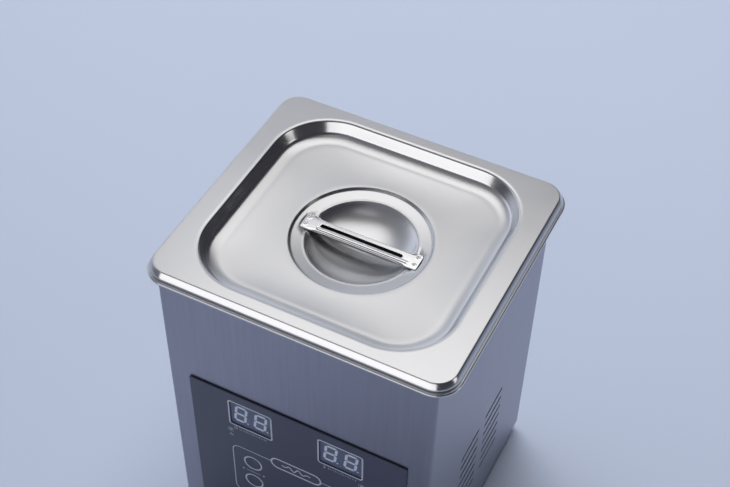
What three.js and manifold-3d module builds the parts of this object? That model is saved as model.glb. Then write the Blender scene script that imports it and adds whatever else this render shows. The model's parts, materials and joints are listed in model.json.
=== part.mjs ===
// Benchtop ultrasonic cleaner with a 2 litre tank, as an assembly of separate pieces.
// Units are millimetres. +Z is up, the control panel faces -Y, and the origin is on
// the surface the machine stands on, under the middle of the housing.

import * as THREE from 'three';
import { mergeVertices } from 'three/addons/utils/BufferGeometryUtils.js';
import Module from 'manifold-3d';

const wasm = await Module();
wasm.setup();

// ---------------------------------------------------------------- driving sizes

const GAP = 0.3; // clearance between neighbouring pieces
const SHEET = 1.0; // stainless sheet thickness

const HOUSING = { w: 158, d: 148, z0: 7.1, z1: 210.3, corner: 2.5 };
const LID_TOP = 218;
const FOOT = { r: 9, h: 7, x: 64, y: 58 };

const LID = { halfX: 86.25, halfY: 77.7, corner: 13, roll: 1.6, skirt: 4.9 };
const RECESS = { halfX: 72.5, halfY: 68.8, corner: 34, depth: 8.8 };
const DISH = { edge: 39.2, ledgeOut: 36.4, ledgeIn: 30.4, ledgeDepth: 11.3, bowlDepth: 20.5 };
const STRAP = { halfX: 34.2, w: 11, t: 1.2, slotHalf: 24, slotW: 1.9 };
const SEAT = { inner: 29.6, wall: 1, clearance: 0.6 }; // pressed seats for the strap's ends

const FLANGE = { halfX: 87.5, halfY: 79, corner: 14, top: 212.8, edge: 1.8 };
const TANK = { halfX: 75, halfY: 68.2, corner: 32, depth: 102, draft: 5.5, foot: 22, t: 0.9 };

const PANEL = { halfX: 65.7, z0: 20.5, z1: 137.4, t: 0.8 };
const LAYOUT_X = -0.7; // the printed layout sits a little left of the panel's middle
const WINDOW = { x: 27.7, z: 120.4, w: 26.4, h: 20.6, corner: 1.6 };
const KEY = { r: 4.9, hole: 5.2, x: 28 };
const KEY_ROWS = { upper: 78.8, lower: 61.3, power: 33 };
const LAMP = { x: 40.8, z: 103.9, r: 1.2 };
const OPENING = { halfX: 56, z0: 26, z1: 133 }; // housing window behind the panel

const VENT = { rows: 7, pitch: 8.4, top: 94, near: 4.2, length: 25, h: 2.2 };

const REAR = { halfX: 66, z0: 17, z1: 116, rim: 7 };
const FAN = { x: -32, z: 72, size: 50, t: 12, bore: 23.4, blades: 7 };
const INLET = { x: 40, z: 40, w: 27, h: 19.6, depth: 20 };
const ROCKER = { x: 40, z: 82, w: 19, h: 12.8 };
const ROCKER_TILT = THREE.MathUtils.degToRad(8);

const FRONT = -HOUSING.d / 2;
const BACK = HOUSING.d / 2;
const PANEL_FACE = FRONT - GAP - PANEL.t;
const BOARD_Y = FRONT + 7.2; // front face of the display board
const BOARD_T = 1.2;
const BASE_Z = HOUSING.z0 + 0.2; // underside of the base plate
const POWER_BOARD = { x: -8, y: -2, w: 112, d: 84, t: 1.6, z: BASE_Z + SHEET + 8 };

// ---------------------------------------------------------------- finishes

function finish(color, roughness, metalness) {
  return new THREE.MeshStandardMaterial({ color, roughness, metalness });
}

const SATIN_STEEL = finish(0xc9cbd0, 0.32, 1.0);
const BRUSHED_STEEL = finish(0x8c919f, 0.38, 1.0);
const POLISHED_STEEL = finish(0xd9dade, 0.15, 1.0);
const ZINC_STEEL = finish(0xa9adb2, 0.35, 1.0);
const CAST_ALUMINIUM = finish(0xb4b6b8, 0.45, 1.0);
const BRASS = finish(0xb8964f, 0.35, 1.0);
const COPPER = finish(0xb4714a, 0.35, 1.0);
const PANEL_FILM = finish(0x1f2230, 0.35, 0.0);
const SMOKED_WINDOW = finish(0x6f7488, 0.2, 0.0);
const KEY_CAP = finish(0x262a38, 0.4, 0.0);
const LAMP_LENS = finish(0xdfe6f5, 0.25, 0.0);
const BLACK_PLASTIC = finish(0x17181b, 0.5, 0.0);
const BLACK_RUBBER = finish(0x1a1a1b, 0.8, 0.0);
const SILICONE = finish(0xc8c4bd, 0.7, 0.0);
const SILICONE_ORANGE = finish(0xb3552f, 0.6, 0.0);
const CERAMIC = finish(0x5e5a52, 0.6, 0.0);
const CIRCUIT_BOARD = finish(0x1f5a3a, 0.5, 0.0);
const DISPLAY_FACE = finish(0x3a4054, 0.5, 0.0);
const WHITE_PLASTIC = finish(0xd8d6cf, 0.5, 0.0);

// ---------------------------------------------------------------- solids

// A watertight copy of a geometry: only positions, with shared corners merged.
function sealed(geometry) {
  const bare = new THREE.BufferGeometry();
  bare.setAttribute('position', geometry.getAttribute('position').clone());
  if (geometry.index) bare.setIndex(geometry.index.clone());
  const merged = mergeVertices(bare, 1e-4);
  return dropFlat(merged);
}

// Triangles that lost an edge when their corners merged are left out.
function dropFlat(geometry) {
  const source = geometry.index.array;
  const kept = [];
  for (let i = 0; i < source.length; i += 3) {
    const [a, b, c] = [source[i], source[i + 1], source[i + 2]];
    if (a !== b && b !== c && c !== a) kept.push(a, b, c);
  }
  geometry.setIndex(kept);
  return geometry;
}

function toSolid(geometry) {
  const shape = sealed(geometry);
  return new wasm.Manifold(
    new wasm.Mesh({
      numProp: 3,
      vertProperties: new Float32Array(shape.getAttribute('position').array),
      triVerts: new Uint32Array(shape.index.array),
    }),
  );
}

function toGeometry(solid) {
  const mesh = solid.getMesh();
  const geometry = new THREE.BufferGeometry();
  geometry.setAttribute('position', new THREE.BufferAttribute(new Float32Array(mesh.vertProperties), 3));
  geometry.setIndex(Array.from(mesh.triVerts));
  return geometry;
}

function cut(geometry, cutters) {
  let solid = toSolid(geometry);
  for (const cutter of cutters) solid = solid.subtract(toSolid(cutter));
  return toGeometry(solid);
}

function join(geometries) {
  let solid = toSolid(geometries[0]);
  for (const geometry of geometries.slice(1)) solid = solid.add(toSolid(geometry));
  return toGeometry(solid);
}

// A mesh with its name, finish and a faceted normal for each face.
function piece(name, geometry, material, position = [0, 0, 0]) {
  const body = geometry.index ? geometry.toNonIndexed() : geometry;
  body.computeVertexNormals();
  const mesh = new THREE.Mesh(body, material);
  mesh.name = name;
  mesh.position.set(...position);
  return mesh;
}

// A box given by its lowest and highest corners.
function block(low, high) {
  const size = high.map((value, axis) => value - low[axis]);
  const geometry = new THREE.BoxGeometry(...size);
  return geometry.translate(...low.map((value, axis) => value + size[axis] / 2));
}

// Round bars along each axis, from one end to the other.
function barZ(r, z0, z1, x = 0, y = 0, sides = 20) {
  const geometry = new THREE.CylinderGeometry(r, r, z1 - z0, sides).rotateX(Math.PI / 2);
  return geometry.translate(x, y, (z0 + z1) / 2);
}

function barY(r, y0, y1, x = 0, z = 0, sides = 20) {
  const geometry = new THREE.CylinderGeometry(r, r, y1 - y0, sides);
  return geometry.translate(x, (y0 + y1) / 2, z);
}

// A turned piece about +Z from [radius, height] points that start and end on the axis.
function turned(points, sides = 24) {
  const profile = points.map(([r, z]) => new THREE.Vector2(r, z));
  return new THREE.LatheGeometry(profile, sides).rotateX(Math.PI / 2);
}

// A rectangle with round corners, centred on the origin, as a THREE.Shape.
function roundedRect(halfX, halfY, corner, Kind = THREE.Shape) {
  const shape = new Kind();
  shape.moveTo(-halfX + corner, -halfY);
  shape.lineTo(halfX - corner, -halfY);
  shape.absarc(halfX - corner, -halfY + corner, corner, -Math.PI / 2, 0, false);
  shape.lineTo(halfX, halfY - corner);
  shape.absarc(halfX - corner, halfY - corner, corner, 0, Math.PI / 2, false);
  shape.lineTo(-halfX + corner, halfY);
  shape.absarc(-halfX + corner, halfY - corner, corner, Math.PI / 2, Math.PI, false);
  shape.lineTo(-halfX, -halfY + corner);
  shape.absarc(-halfX + corner, -halfY + corner, corner, Math.PI, Math.PI * 1.5, false);
  return shape;
}

// A slot outline: straight along X with round ends.
function stadium(half, width) {
  const r = width / 2;
  const shape = new THREE.Shape();
  shape.moveTo(-half + r, -r);
  shape.lineTo(half - r, -r);
  shape.absarc(half - r, 0, r, -Math.PI / 2, Math.PI / 2, false);
  shape.lineTo(-half + r, r);
  shape.absarc(-half + r, 0, r, Math.PI / 2, Math.PI * 1.5, false);
  return shape;
}

function prism(shape, depth, curveSegments = 6) {
  return new THREE.ExtrudeGeometry(shape, { depth, curveSegments, bevelEnabled: false });
}

// A flat plate standing in the XZ plane: front face at y0, back face at y1.
function standingPlate(shape, y0, y1, x = 0, z = 0, curveSegments = 6) {
  return prism(shape, y1 - y0, curveSegments).rotateX(Math.PI / 2).translate(x, y1, z);
}

// A through slot in a side wall: long in Y, low in Z, cutting along X.
function sideSlot(xMiddle, yMiddle, z) {
  const slot = prism(stadium(VENT.length / 2, VENT.h), SHEET * 6, 2);
  slot.rotateX(Math.PI / 2).rotateZ(Math.PI / 2);
  return slot.translate(xMiddle - SHEET * 3, yMiddle, z);
}

// ---------------------------------------------------------------- drawn sheet shells

const CORNER_STEPS = 6;
const SIDE_STEPS = 3;

// One closed ring of points around a rectangle with round corners at height z.
function ring({ halfX, halfY, corner, z }) {
  const points = [];
  const centres = [[1, -1], [1, 1], [-1, 1], [-1, -1]];
  centres.forEach(([sx, sy], index) => {
    const cx = sx * (halfX - corner);
    const cy = sy * (halfY - corner);
    const start = -Math.PI / 2 + (index * Math.PI) / 2;
    for (let k = 0; k <= CORNER_STEPS; k += 1) {
      const angle = start + (k / CORNER_STEPS) * (Math.PI / 2);
      points.push(new THREE.Vector3(cx + corner * Math.cos(angle), cy + corner * Math.sin(angle), z));
    }
    const [nx, ny] = centres[(index + 1) % 4];
    const from = points[points.length - 1];
    const next = start + Math.PI / 2;
    const to = new THREE.Vector3(
      nx * (halfX - corner) + corner * Math.cos(next),
      ny * (halfY - corner) + corner * Math.sin(next),
      z,
    );
    for (let k = 1; k < SIDE_STEPS; k += 1) points.push(from.clone().lerp(to, k / SIDE_STEPS));
  });
  return points;
}

// A round ring whose points lie in the same directions as those of a guide ring.
function roundRing(r, z, guide) {
  return guide.map((point) => new THREE.Vector3(point.x, point.y, 0).setLength(r).setZ(z));
}

// Skins a stack of rings that starts and ends at a point on the axis.
function skin(rings, startZ, endZ) {
  const count = rings[0].length;
  const vertices = [0, 0, startZ];
  for (const p of rings.flat()) vertices.push(p.x, p.y, p.z);
  vertices.push(0, 0, endZ);
  const last = vertices.length / 3 - 1;
  const at = (level, k) => 1 + level * count + (k % count);
  const faces = [];
  for (let k = 0; k < count; k += 1) {
    faces.push(0, at(0, k + 1), at(0, k));
    faces.push(last, at(rings.length - 1, k), at(rings.length - 1, k + 1));
    for (let level = 0; level < rings.length - 1; level += 1) {
      faces.push(at(level, k), at(level, k + 1), at(level + 1, k));
      faces.push(at(level, k + 1), at(level + 1, k + 1), at(level + 1, k));
    }
  }
  const geometry = new THREE.BufferGeometry();
  geometry.setAttribute('position', new THREE.Float32BufferAttribute(vertices, 3));
  geometry.setIndex(faces);
  return facingOut(geometry);
}

// Turns every face round if the closed surface would enclose a negative volume.
function facingOut(geometry) {
  const p = geometry.getAttribute('position');
  const index = geometry.index.array;
  let volume = 0;
  const corner = (i) => new THREE.Vector3().fromBufferAttribute(p, index[i]);
  for (let i = 0; i < index.length; i += 3) {
    volume += corner(i).dot(corner(i + 1).cross(corner(i + 2)));
  }
  if (volume < 0) {
    const turnedRound = [];
    for (let i = 0; i < index.length; i += 3) turnedRound.push(index[i], index[i + 2], index[i + 1]);
    geometry.setIndex(turnedRound);
  }
  return geometry;
}

// Points on a quarter-like arc in the profile plane, from angle a to angle b in degrees.
function arc(cx, cz, r, a, b, steps) {
  const points = [];
  for (let k = 0; k <= steps; k += 1) {
    const angle = THREE.MathUtils.degToRad(a + ((b - a) * k) / steps);
    points.push([cx + r * Math.cos(angle), cz + r * Math.sin(angle)]);
  }
  return points;
}

// The profile moved sideways by a distance, away from its left-hand side.
function offsetProfile(points, distance) {
  return points.map((point, i) => {
    const before = points[Math.max(i - 1, 0)];
    const after = points[Math.min(i + 1, points.length - 1)];
    const along = new THREE.Vector2(after[0] - before[0], after[1] - before[1]).normalize();
    return [point[0] + along.y * distance, point[1] - along.x * distance];
  });
}

// ---------------------------------------------------------------- lid

// The lid's upper face, from the skirt to the recess floor, as [inset, height] points.
// The inset is measured inwards from the lid's outer edge.
function lidRimProfile() {
  const skirt = [[0, LID_TOP - LID.skirt], [0, LID_TOP - LID.roll]];
  const roll = arc(LID.roll, LID_TOP - LID.roll, LID.roll, 180, 90, 3).slice(1);
  return [...skirt, ...roll];
}

// The recess wall, as [inset, height] points measured inwards from the recess edge.
function recessProfile() {
  const top = LID_TOP;
  const floor = LID_TOP - RECESS.depth;
  const shoulder = arc(0, top - 1.6, 1.6, 90, 20, 3);
  const cove = arc(7.6, floor + 5.2, 5.2, 200, 270, 4);
  return [...shoulder, ...cove];
}

// The round dish, as [radius, height] points from its edge to near the middle.
function dishProfile() {
  const floor = LID_TOP - RECESS.depth;
  const ledge = LID_TOP - DISH.ledgeDepth;
  const bowl = LID_TOP - DISH.bowlDepth;
  const points = [[DISH.edge, floor], [DISH.ledgeOut, ledge], [DISH.ledgeIn, ledge]];
  for (const share of [0.9, 0.72, 0.5, 0.25]) {
    const sag = Math.sqrt(1 - share * share);
    points.push([DISH.ledgeIn * share, ledge + (bowl - ledge) * sag]);
  }
  return points;
}

// Rings for one face of the lid: distance 0 is the upper face, SHEET the lower one.
function lidRings(distance) {
  const rim = offsetProfile(lidRimProfile(), distance);
  const floor = LID_TOP - RECESS.depth;
  const recess = offsetProfile([[-0.5, LID_TOP], ...recessProfile(), [9.5, floor]], distance);
  const dish = offsetProfile(dishProfile().map(([r, z]) => [-r, z]), distance);
  const rimRings = rim.map(([inset, z]) => ring({
    halfX: LID.halfX - inset,
    halfY: LID.halfY - inset,
    corner: LID.corner - inset,
    z,
  }));
  const recessRings = recess.slice(1, -1).map(([inset, z]) => ring({
    halfX: RECESS.halfX - inset,
    halfY: RECESS.halfY - inset,
    corner: RECESS.corner - inset,
    z,
  }));
  const guide = recessRings[recessRings.length - 1];
  const dishRings = dish.map(([r, z]) => roundRing(-r, z, guide));
  return [...rimRings, ...recessRings, ...dishRings];
}

// A block that stands for one pressed seat, drawn in by a margin on every side.
function seatBlock(side, margin, z0, z1) {
  const outer = STRAP.halfX + SEAT.clearance + SEAT.wall - margin;
  const halfY = STRAP.w / 2 + SEAT.clearance + SEAT.wall - margin;
  const [x0, x1] = side < 0 ? [-outer, -SEAT.inner + margin] : [SEAT.inner - margin, outer];
  return block([x0, -halfY, z0], [x1, halfY, z1]);
}

function lidPanel() {
  const bowl = LID_TOP - DISH.bowlDepth;
  const ledge = LID_TOP - DISH.ledgeDepth;
  const seat = ledge - STRAP.t - GAP;
  const upper = lidRings(0).reverse();
  const lower = lidRings(SHEET);
  const sheet = skin([...upper, ...lower], bowl, bowl - SHEET);
  const seats = [-1, 1].map((side) => seatBlock(side, 0, seat - SHEET, ledge - SHEET / 2));
  const pockets = [-1, 1].map((side) => seatBlock(side, SEAT.wall, seat, ledge + SHEET / 2));
  return piece('lid_panel', cut(join([sheet, ...seats]), pockets), SATIN_STEEL);
}

// The lifting strap lies across the dish, its ends flush with the ledge in their seats:
// a flat strip with one long slot, a pressed rib beside it and a turned-down front edge.
function lidHandle() {
  const z0 = LID_TOP - DISH.ledgeDepth - STRAP.t;
  const strip = prism(roundedRect(STRAP.halfX, STRAP.w / 2, 0.8), STRAP.t, 2).translate(0, 0, z0);
  const slot = prism(stadium(STRAP.slotHalf, STRAP.slotW), STRAP.t * 3, 3);
  slot.translate(0, 0, z0 - STRAP.t);
  const rib = prism(stadium(26, 2.6), 1.0, 3).translate(1.5, -3.2, z0 + STRAP.t - 0.6);
  const lip = block([-25, -STRAP.w / 2, z0 - 1.2], [25, -STRAP.w / 2 + STRAP.t, z0 + 0.2]);
  return piece('lid_handle', cut(join([strip, rib, lip]), [slot]), POLISHED_STEEL);
}

// ---------------------------------------------------------------- tank

// A deep-drawn tank whose flange carries the lid and whose edge is turned down.
function tank() {
  const { top, edge } = FLANGE;
  const floor = top - TANK.depth;
  const outer = (inset, z) => ring({
    halfX: FLANGE.halfX - inset,
    halfY: FLANGE.halfY - inset,
    corner: FLANGE.corner - inset,
    z,
  });
  const wall = (inset, z) => ring({
    halfX: TANK.halfX - inset,
    halfY: TANK.halfY - inset,
    corner: TANK.corner - inset,
    z,
  });
  const lipRadius = 2.5;
  const inside = [
    ...arc(-lipRadius, top - lipRadius, lipRadius, 90, 0, 3),
    ...arc(TANK.draft + TANK.foot, floor + TANK.foot, TANK.foot, 180, 270, 5),
  ];
  const outside = offsetProfile(inside, TANK.t);
  outside[0] = [outside[0][0], top - TANK.t];
  outside[outside.length - 1] = [outside[outside.length - 1][0], floor - TANK.t];
  const rings = [
    ...[...inside].reverse().map(([inset, z]) => wall(inset, z)),
    outer(0.6, top),
    outer(0, top - 0.6),
    outer(0, top - edge),
    outer(TANK.t, top - edge),
    outer(TANK.t, top - TANK.t),
    ...outside.map(([inset, z]) => wall(inset, z)),
  ];
  return piece('tank', skin(rings, floor, floor - TANK.t), SATIN_STEEL);
}

// A flat silicone ring between the tank flange and the top edge of the housing.
function flangeSeal() {
  const shape = roundedRect(HOUSING.w / 2 + 1, HOUSING.d / 2 + 1, 3.5);
  shape.holes.push(roundedRect(HOUSING.w / 2 - 1.8, HOUSING.d / 2 - 1.4, 2, THREE.Path));
  const z = HOUSING.z1 + GAP;
  return piece('flange_seal', prism(shape, FLANGE.top - TANK.t - GAP - z, 2), SILICONE, [0, 0, z]);
}

// ---------------------------------------------------------------- housing

const halfW = HOUSING.w / 2;

// The wrapped stainless housing: open top and bottom, side vents, a window behind
// the control panel and one behind the rear cover.
function housing() {
  const shape = roundedRect(halfW, BACK, HOUSING.corner);
  const inner = HOUSING.corner - SHEET;
  shape.holes.push(roundedRect(halfW - SHEET, BACK - SHEET, inner, THREE.Path));
  const wrap = prism(shape, HOUSING.z1 - HOUSING.z0, 2).translate(0, 0, HOUSING.z0);
  const windows = [
    block([-OPENING.halfX, FRONT - 3, OPENING.z0], [OPENING.halfX, FRONT + 3, OPENING.z1]),
    block(
      [-REAR.halfX + REAR.rim, BACK - 3, REAR.z0 + REAR.rim],
      [REAR.halfX - REAR.rim, BACK + 3, REAR.z1 - REAR.rim],
    ),
  ];
  const vents = [];
  for (const side of [-1, 1]) {
    for (const column of [-1, 1]) {
      for (let row = 0; row < VENT.rows; row += 1) {
        const y = column * (VENT.near + VENT.length / 2);
        vents.push(sideSlot(side * halfW, y, VENT.top - row * VENT.pitch));
      }
    }
  }
  const screwHoles = rearScrewPlaces().map(([x, z]) => barY(1.8, BACK - 3, BACK + 3, x, z, 10));
  return piece('housing_wrap', cut(wrap, [...windows, ...vents, ...screwHoles]), BRUSHED_STEEL);
}

const baseHalfX = halfW - SHEET - GAP;
const baseHalfY = BACK - SHEET - GAP;

// A folded base plate with an upturned edge, air slots and four foot holes.
function basePlate() {
  const outer = prism(roundedRect(baseHalfX, baseHalfY, 2.5), 9, 1).translate(0, 0, BASE_Z);
  const hollow = roundedRect(baseHalfX - SHEET, baseHalfY - SHEET, 1.5);
  const inner = prism(hollow, 20, 1).translate(0, 0, BASE_Z + SHEET);
  const slots = [];
  for (const column of [-1, 1]) {
    for (let row = 0; row < 5; row += 1) {
      slots.push(prism(stadium(14, 3), 6, 2).translate(column * 24, -28 + row * 14, BASE_Z - 2));
    }
  }
  const holes = footPlaces().map(([x, y]) => barZ(2.1, BASE_Z - 3, BASE_Z + 3, x, y, 10));
  return piece('base_plate', cut(outer, [inner, ...slots, ...holes]), ZINC_STEEL);
}

// ---------------------------------------------------------------- feet

function footPlaces() {
  return [[-FOOT.x, -FOOT.y], [FOOT.x, -FOOT.y], [FOOT.x, FOOT.y], [-FOOT.x, FOOT.y]];
}

const CORNER_NAMES = ['front_left', 'front_right', 'rear_right', 'rear_left'];

// A tapered rubber foot with a recess for its screw.
function foot(name, [x, y]) {
  const profile = [
    [2.2, 3], [5.4, 3], [5.4, 0], [FOOT.r - 1.6, 0],
    [FOOT.r - 1.0, 0.6], [FOOT.r, FOOT.h], [2.2, FOOT.h], [2.2, 3],
  ];
  return piece(`foot_${name}`, turned(profile, 14), BLACK_RUBBER, [x, y, 0]);
}

// A pan-head screw along +Z: its head is at the bottom.
function footScrew(name, [x, y]) {
  const profile = [[0, 0.8], [3.2, 0.8], [4.2, 1.6], [4.2, 2.7], [1.7, 2.7], [1.7, 11], [0, 11]];
  return piece(`foot_screw_${name}`, turned(profile, 8), ZINC_STEEL, [x, y, 0]);
}

// ---------------------------------------------------------------- rear

function rearScrewPlaces() {
  const x = REAR.halfX - REAR.rim / 2;
  const low = REAR.z0 + REAR.rim / 2;
  const high = REAR.z1 - REAR.rim / 2;
  return [[-x, low], [x, low], [x, high], [-x, high]];
}

// Air holes over the fan: one in the middle and two rings round it.
function fanHoles() {
  const holes = [[FAN.x, FAN.z]];
  for (const [count, r] of [[6, 8], [12, 16]]) {
    for (let k = 0; k < count; k += 1) {
      const angle = (k / count) * Math.PI * 2;
      holes.push([FAN.x + r * Math.cos(angle), FAN.z + r * Math.sin(angle)]);
    }
  }
  return holes;
}

const rearY0 = BACK + GAP;
const rearY1 = BACK + GAP + SHEET;

function rearCover() {
  const centreZ = (REAR.z0 + REAR.z1) / 2;
  const shape = roundedRect(REAR.halfX, (REAR.z1 - REAR.z0) / 2, 3);
  const plate = standingPlate(shape, rearY0, rearY1, 0, centreZ, 3);
  const through = (w, h, x, z) => block([x - w / 2, BACK - 3, z - h / 2], [x + w / 2, BACK + 5, z + h / 2]);
  const cutters = [
    through(INLET.w + 2 * GAP, INLET.h + 2 * GAP, INLET.x, INLET.z),
    through(ROCKER.w + 2 * GAP, ROCKER.h + 2 * GAP, ROCKER.x, ROCKER.z),
    ...fanHoles().map(([x, z]) => barY(2.9, BACK - 3, BACK + 5, x, z, 8)),
    ...rearScrewPlaces().map(([x, z]) => barY(1.8, BACK - 3, BACK + 5, x, z, 10)),
  ];
  return piece('rear_cover', cut(plate, cutters), BRUSHED_STEEL);
}

function coverScrew(name, [x, z]) {
  const profile = [[0, 0], [1.5, 0], [1.5, 5], [3, 5], [3, 6.1], [2.2, 6.9], [0, 6.9]];
  const screw = turned(profile, 10).rotateX(-Math.PI / 2);
  return piece(`cover_screw_${name}`, screw, ZINC_STEEL, [x, rearY1 + GAP - 5, z]);
}

// A mains inlet socket: a flanged shell, open to the rear, with three flat pins.
function powerInlet() {
  const { x, z, w, h, depth } = INLET;
  const lipBack = rearY1 + GAP + 2;
  const shell = block([x - w / 2, lipBack - depth, z - h / 2], [x + w / 2, lipBack, z + h / 2]);
  const flange = block(
    [x - w / 2 - 3, rearY1 + GAP, z - h / 2 - 2.5],
    [x + w / 2 + 3, lipBack, z + h / 2 + 2.5],
  );
  const well = block(
    [x - w / 2 + 1.6, lipBack - depth + 4, z - h / 2 + 1.6],
    [x + w / 2 - 1.6, lipBack + 5, z + h / 2 - 1.6],
  );
  const pins = [[-7, -1.5], [0, 2.5], [7, -1.5]].map(([dx, dz]) => (
    block([x + dx - 1, lipBack - depth + 3, z + dz - 2], [x + dx + 1, lipBack - 3, z + dz + 2])
  ));
  return piece('power_inlet', join([cut(join([shell, flange]), [well]), ...pins]), BLACK_PLASTIC);
}

// The rocker switch frame is a shell open to the rear; its rocker swings in it.
const rockerAxisY = rearY1 + GAP - 1.2;

function rockerFrame() {
  const { x, z, w, h } = ROCKER;
  const lipBack = rearY1 + GAP + 1.6;
  const shell = block([x - w / 2, lipBack - 15, z - h / 2], [x + w / 2, lipBack, z + h / 2]);
  const flange = block(
    [x - w / 2 - 1.5, rearY1 + GAP, z - h / 2 - 1.4],
    [x + w / 2 + 1.5, lipBack, z + h / 2 + 1.4],
  );
  const well = block(
    [x - w / 2 + 1.2, lipBack - 9, z - h / 2 + 1.2],
    [x + w / 2 - 1.2, lipBack + 5, z + h / 2 - 1.2],
  );
  return piece('rocker_frame', cut(join([shell, flange]), [well]), BLACK_PLASTIC);
}

// A shallow V-shaped rocker on an axis along Z. It is drawn pressed to its off side.
function rocker() {
  const { x, z, w, h } = ROCKER;
  const half = w / 2 - 2.4;
  const shape = new THREE.Shape();
  shape.moveTo(-half, 0.4);
  shape.lineTo(-1.6, -3);
  shape.lineTo(1.6, -3);
  shape.lineTo(half, 0.4);
  shape.lineTo(half, 3.6);
  shape.quadraticCurveTo(0, 1.4, -half, 3.6);
  const height = h - 2.4 - 2 * 0.5;
  const body = prism(shape, height, 8).translate(0, 0, -height / 2);
  const mesh = piece('rocker', body, BLACK_PLASTIC, [x, rockerAxisY, z]);
  mesh.rotation.z = ROCKER_TILT;
  return mesh;
}

// ---------------------------------------------------------------- fan

const fanY1 = BACK - SHEET - GAP;
const fanY0 = fanY1 - FAN.t;

// A square fan frame with a round bore, a motor seat and four spokes at the front.
function fanFrame() {
  const half = FAN.size / 2;
  const body = block([FAN.x - half, fanY0, FAN.z - half], [FAN.x + half, fanY1, FAN.z + half]);
  const bore = barY(FAN.bore, fanY0 - 2, fanY1 + 2, FAN.x, FAN.z, 24);
  const seat = barY(9, fanY0, fanY0 + 2, FAN.x, FAN.z, 20);
  const acrossX = block([FAN.x - half + 1, fanY0, FAN.z - 1], [FAN.x + half - 1, fanY0 + 1.6, FAN.z + 1]);
  const acrossZ = block([FAN.x - 1, fanY0, FAN.z - half + 1], [FAN.x + 1, fanY0 + 1.6, FAN.z + half - 1]);
  return piece('fan_frame', join([cut(body, [bore]), seat, acrossX, acrossZ]), BLACK_PLASTIC);
}

// A hub with slanted blades, turning about an axis along Y.
function fanRotor() {
  const y0 = fanY0 + 2 + GAP;
  const y1 = fanY1 - 1;
  const parts = [barY(8.5, y0, y1, 0, 0, 16)];
  for (let k = 0; k < FAN.blades; k += 1) {
    const blade = new THREE.BoxGeometry(14.6, 1, 10).rotateX(0.7).translate(7 + 7.6, (y0 + y1) / 2, 0);
    parts.push(blade.rotateY((k / FAN.blades) * Math.PI * 2));
  }
  const trimmed = toSolid(join(parts)).intersect(toSolid(barY(22.6, y0, y1, 0, 0, 20)));
  return piece('fan_rotor', toGeometry(trimmed), BLACK_PLASTIC, [FAN.x, 0, FAN.z]);
}

// ---------------------------------------------------------------- control panel

const sides = [['time', -1], ['heat', 1]];

function keyPlaces() {
  const places = [];
  for (const [column, side] of sides) {
    const x = LAYOUT_X + side * KEY.x;
    places.push([`key_${column}_up`, x, KEY_ROWS.upper]);
    places.push([`key_${column}_down`, x, KEY_ROWS.lower]);
  }
  places.push(['key_power', LAYOUT_X - KEY.x, KEY_ROWS.power]);
  places.push(['key_start', LAYOUT_X + KEY.x, KEY_ROWS.power]);
  return places;
}

function windowPath(grow, Kind = THREE.Shape) {
  return roundedRect(WINDOW.w / 2 + grow, WINDOW.h / 2 + grow, WINDOW.corner + grow, Kind);
}

// The dark front film on its backing plate, with holes for windows, keys and lamps.
function frontPanel() {
  const centreZ = (PANEL.z0 + PANEL.z1) / 2;
  const shape = roundedRect(PANEL.halfX, (PANEL.z1 - PANEL.z0) / 2, 1);
  const plate = standingPlate(shape, PANEL_FACE, PANEL_FACE + PANEL.t, 0, centreZ, 1);
  const [y0, y1] = [PANEL_FACE - 2, PANEL_FACE + 3];
  const cutters = [];
  for (const [, side] of sides) {
    cutters.push(standingPlate(windowPath(GAP), y0, y1, LAYOUT_X + side * WINDOW.x, WINDOW.z, 1));
    cutters.push(barY(LAMP.r + GAP, y0, y1, LAYOUT_X + side * LAMP.x, LAMP.z, 10));
  }
  for (const [, x, z] of keyPlaces()) cutters.push(barY(KEY.hole, y0, y1, x, z, 16));
  return piece('front_panel', cut(plate, cutters), PANEL_FILM);
}

function displayWindow(column, side) {
  const x = LAYOUT_X + side * WINDOW.x;
  const plate = standingPlate(windowPath(0), PANEL_FACE, PANEL_FACE + PANEL.t, x, WINDOW.z, 1);
  return piece(`display_window_${column}`, plate, SMOKED_WINDOW);
}

// A two-digit display: its face is 2 mm behind the window's face.
function displayModule(column, side) {
  const x = LAYOUT_X + side * WINDOW.x;
  const [w, h] = [25, 19];
  const body = block(
    [x - w / 2, PANEL_FACE + 2, WINDOW.z - h / 2],
    [x + w / 2, BOARD_Y - GAP, WINDOW.z + h / 2],
  );
  return piece(`display_module_${column}`, body, DISPLAY_FACE);
}

// A key cap with a shallow dome, a collar behind the panel and a short stem.
function key(name, x, z) {
  const back = PANEL_FACE + PANEL.t + GAP;
  const collar = KEY.hole + 1.2;
  const stemEnd = -BOARD_Y + 5;
  const profile = [
    [0, stemEnd], [2, stemEnd], [2, -back - 0.7], [collar, -back - 0.7], [collar, -back],
    [KEY.r, -back], [KEY.r, -PANEL_FACE], [KEY.r - 2, -PANEL_FACE + 0.4], [0, -PANEL_FACE + 0.5],
  ];
  const cap = turned(profile, 16).rotateX(Math.PI / 2);
  return piece(name, cap, KEY_CAP, [x, 0, z]);
}

function lamp(column, side) {
  const profile = [
    [0, -BOARD_Y + GAP], [1.6, -BOARD_Y + GAP], [1.6, -PANEL_FACE - PANEL.t - GAP],
    [LAMP.r, -PANEL_FACE - PANEL.t - GAP], [LAMP.r, -PANEL_FACE], [0, -PANEL_FACE + 0.2],
  ];
  const lens = turned(profile, 10).rotateX(Math.PI / 2);
  return piece(`indicator_${column}`, lens, LAMP_LENS, [LAYOUT_X + side * LAMP.x, 0, LAMP.z]);
}

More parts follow.
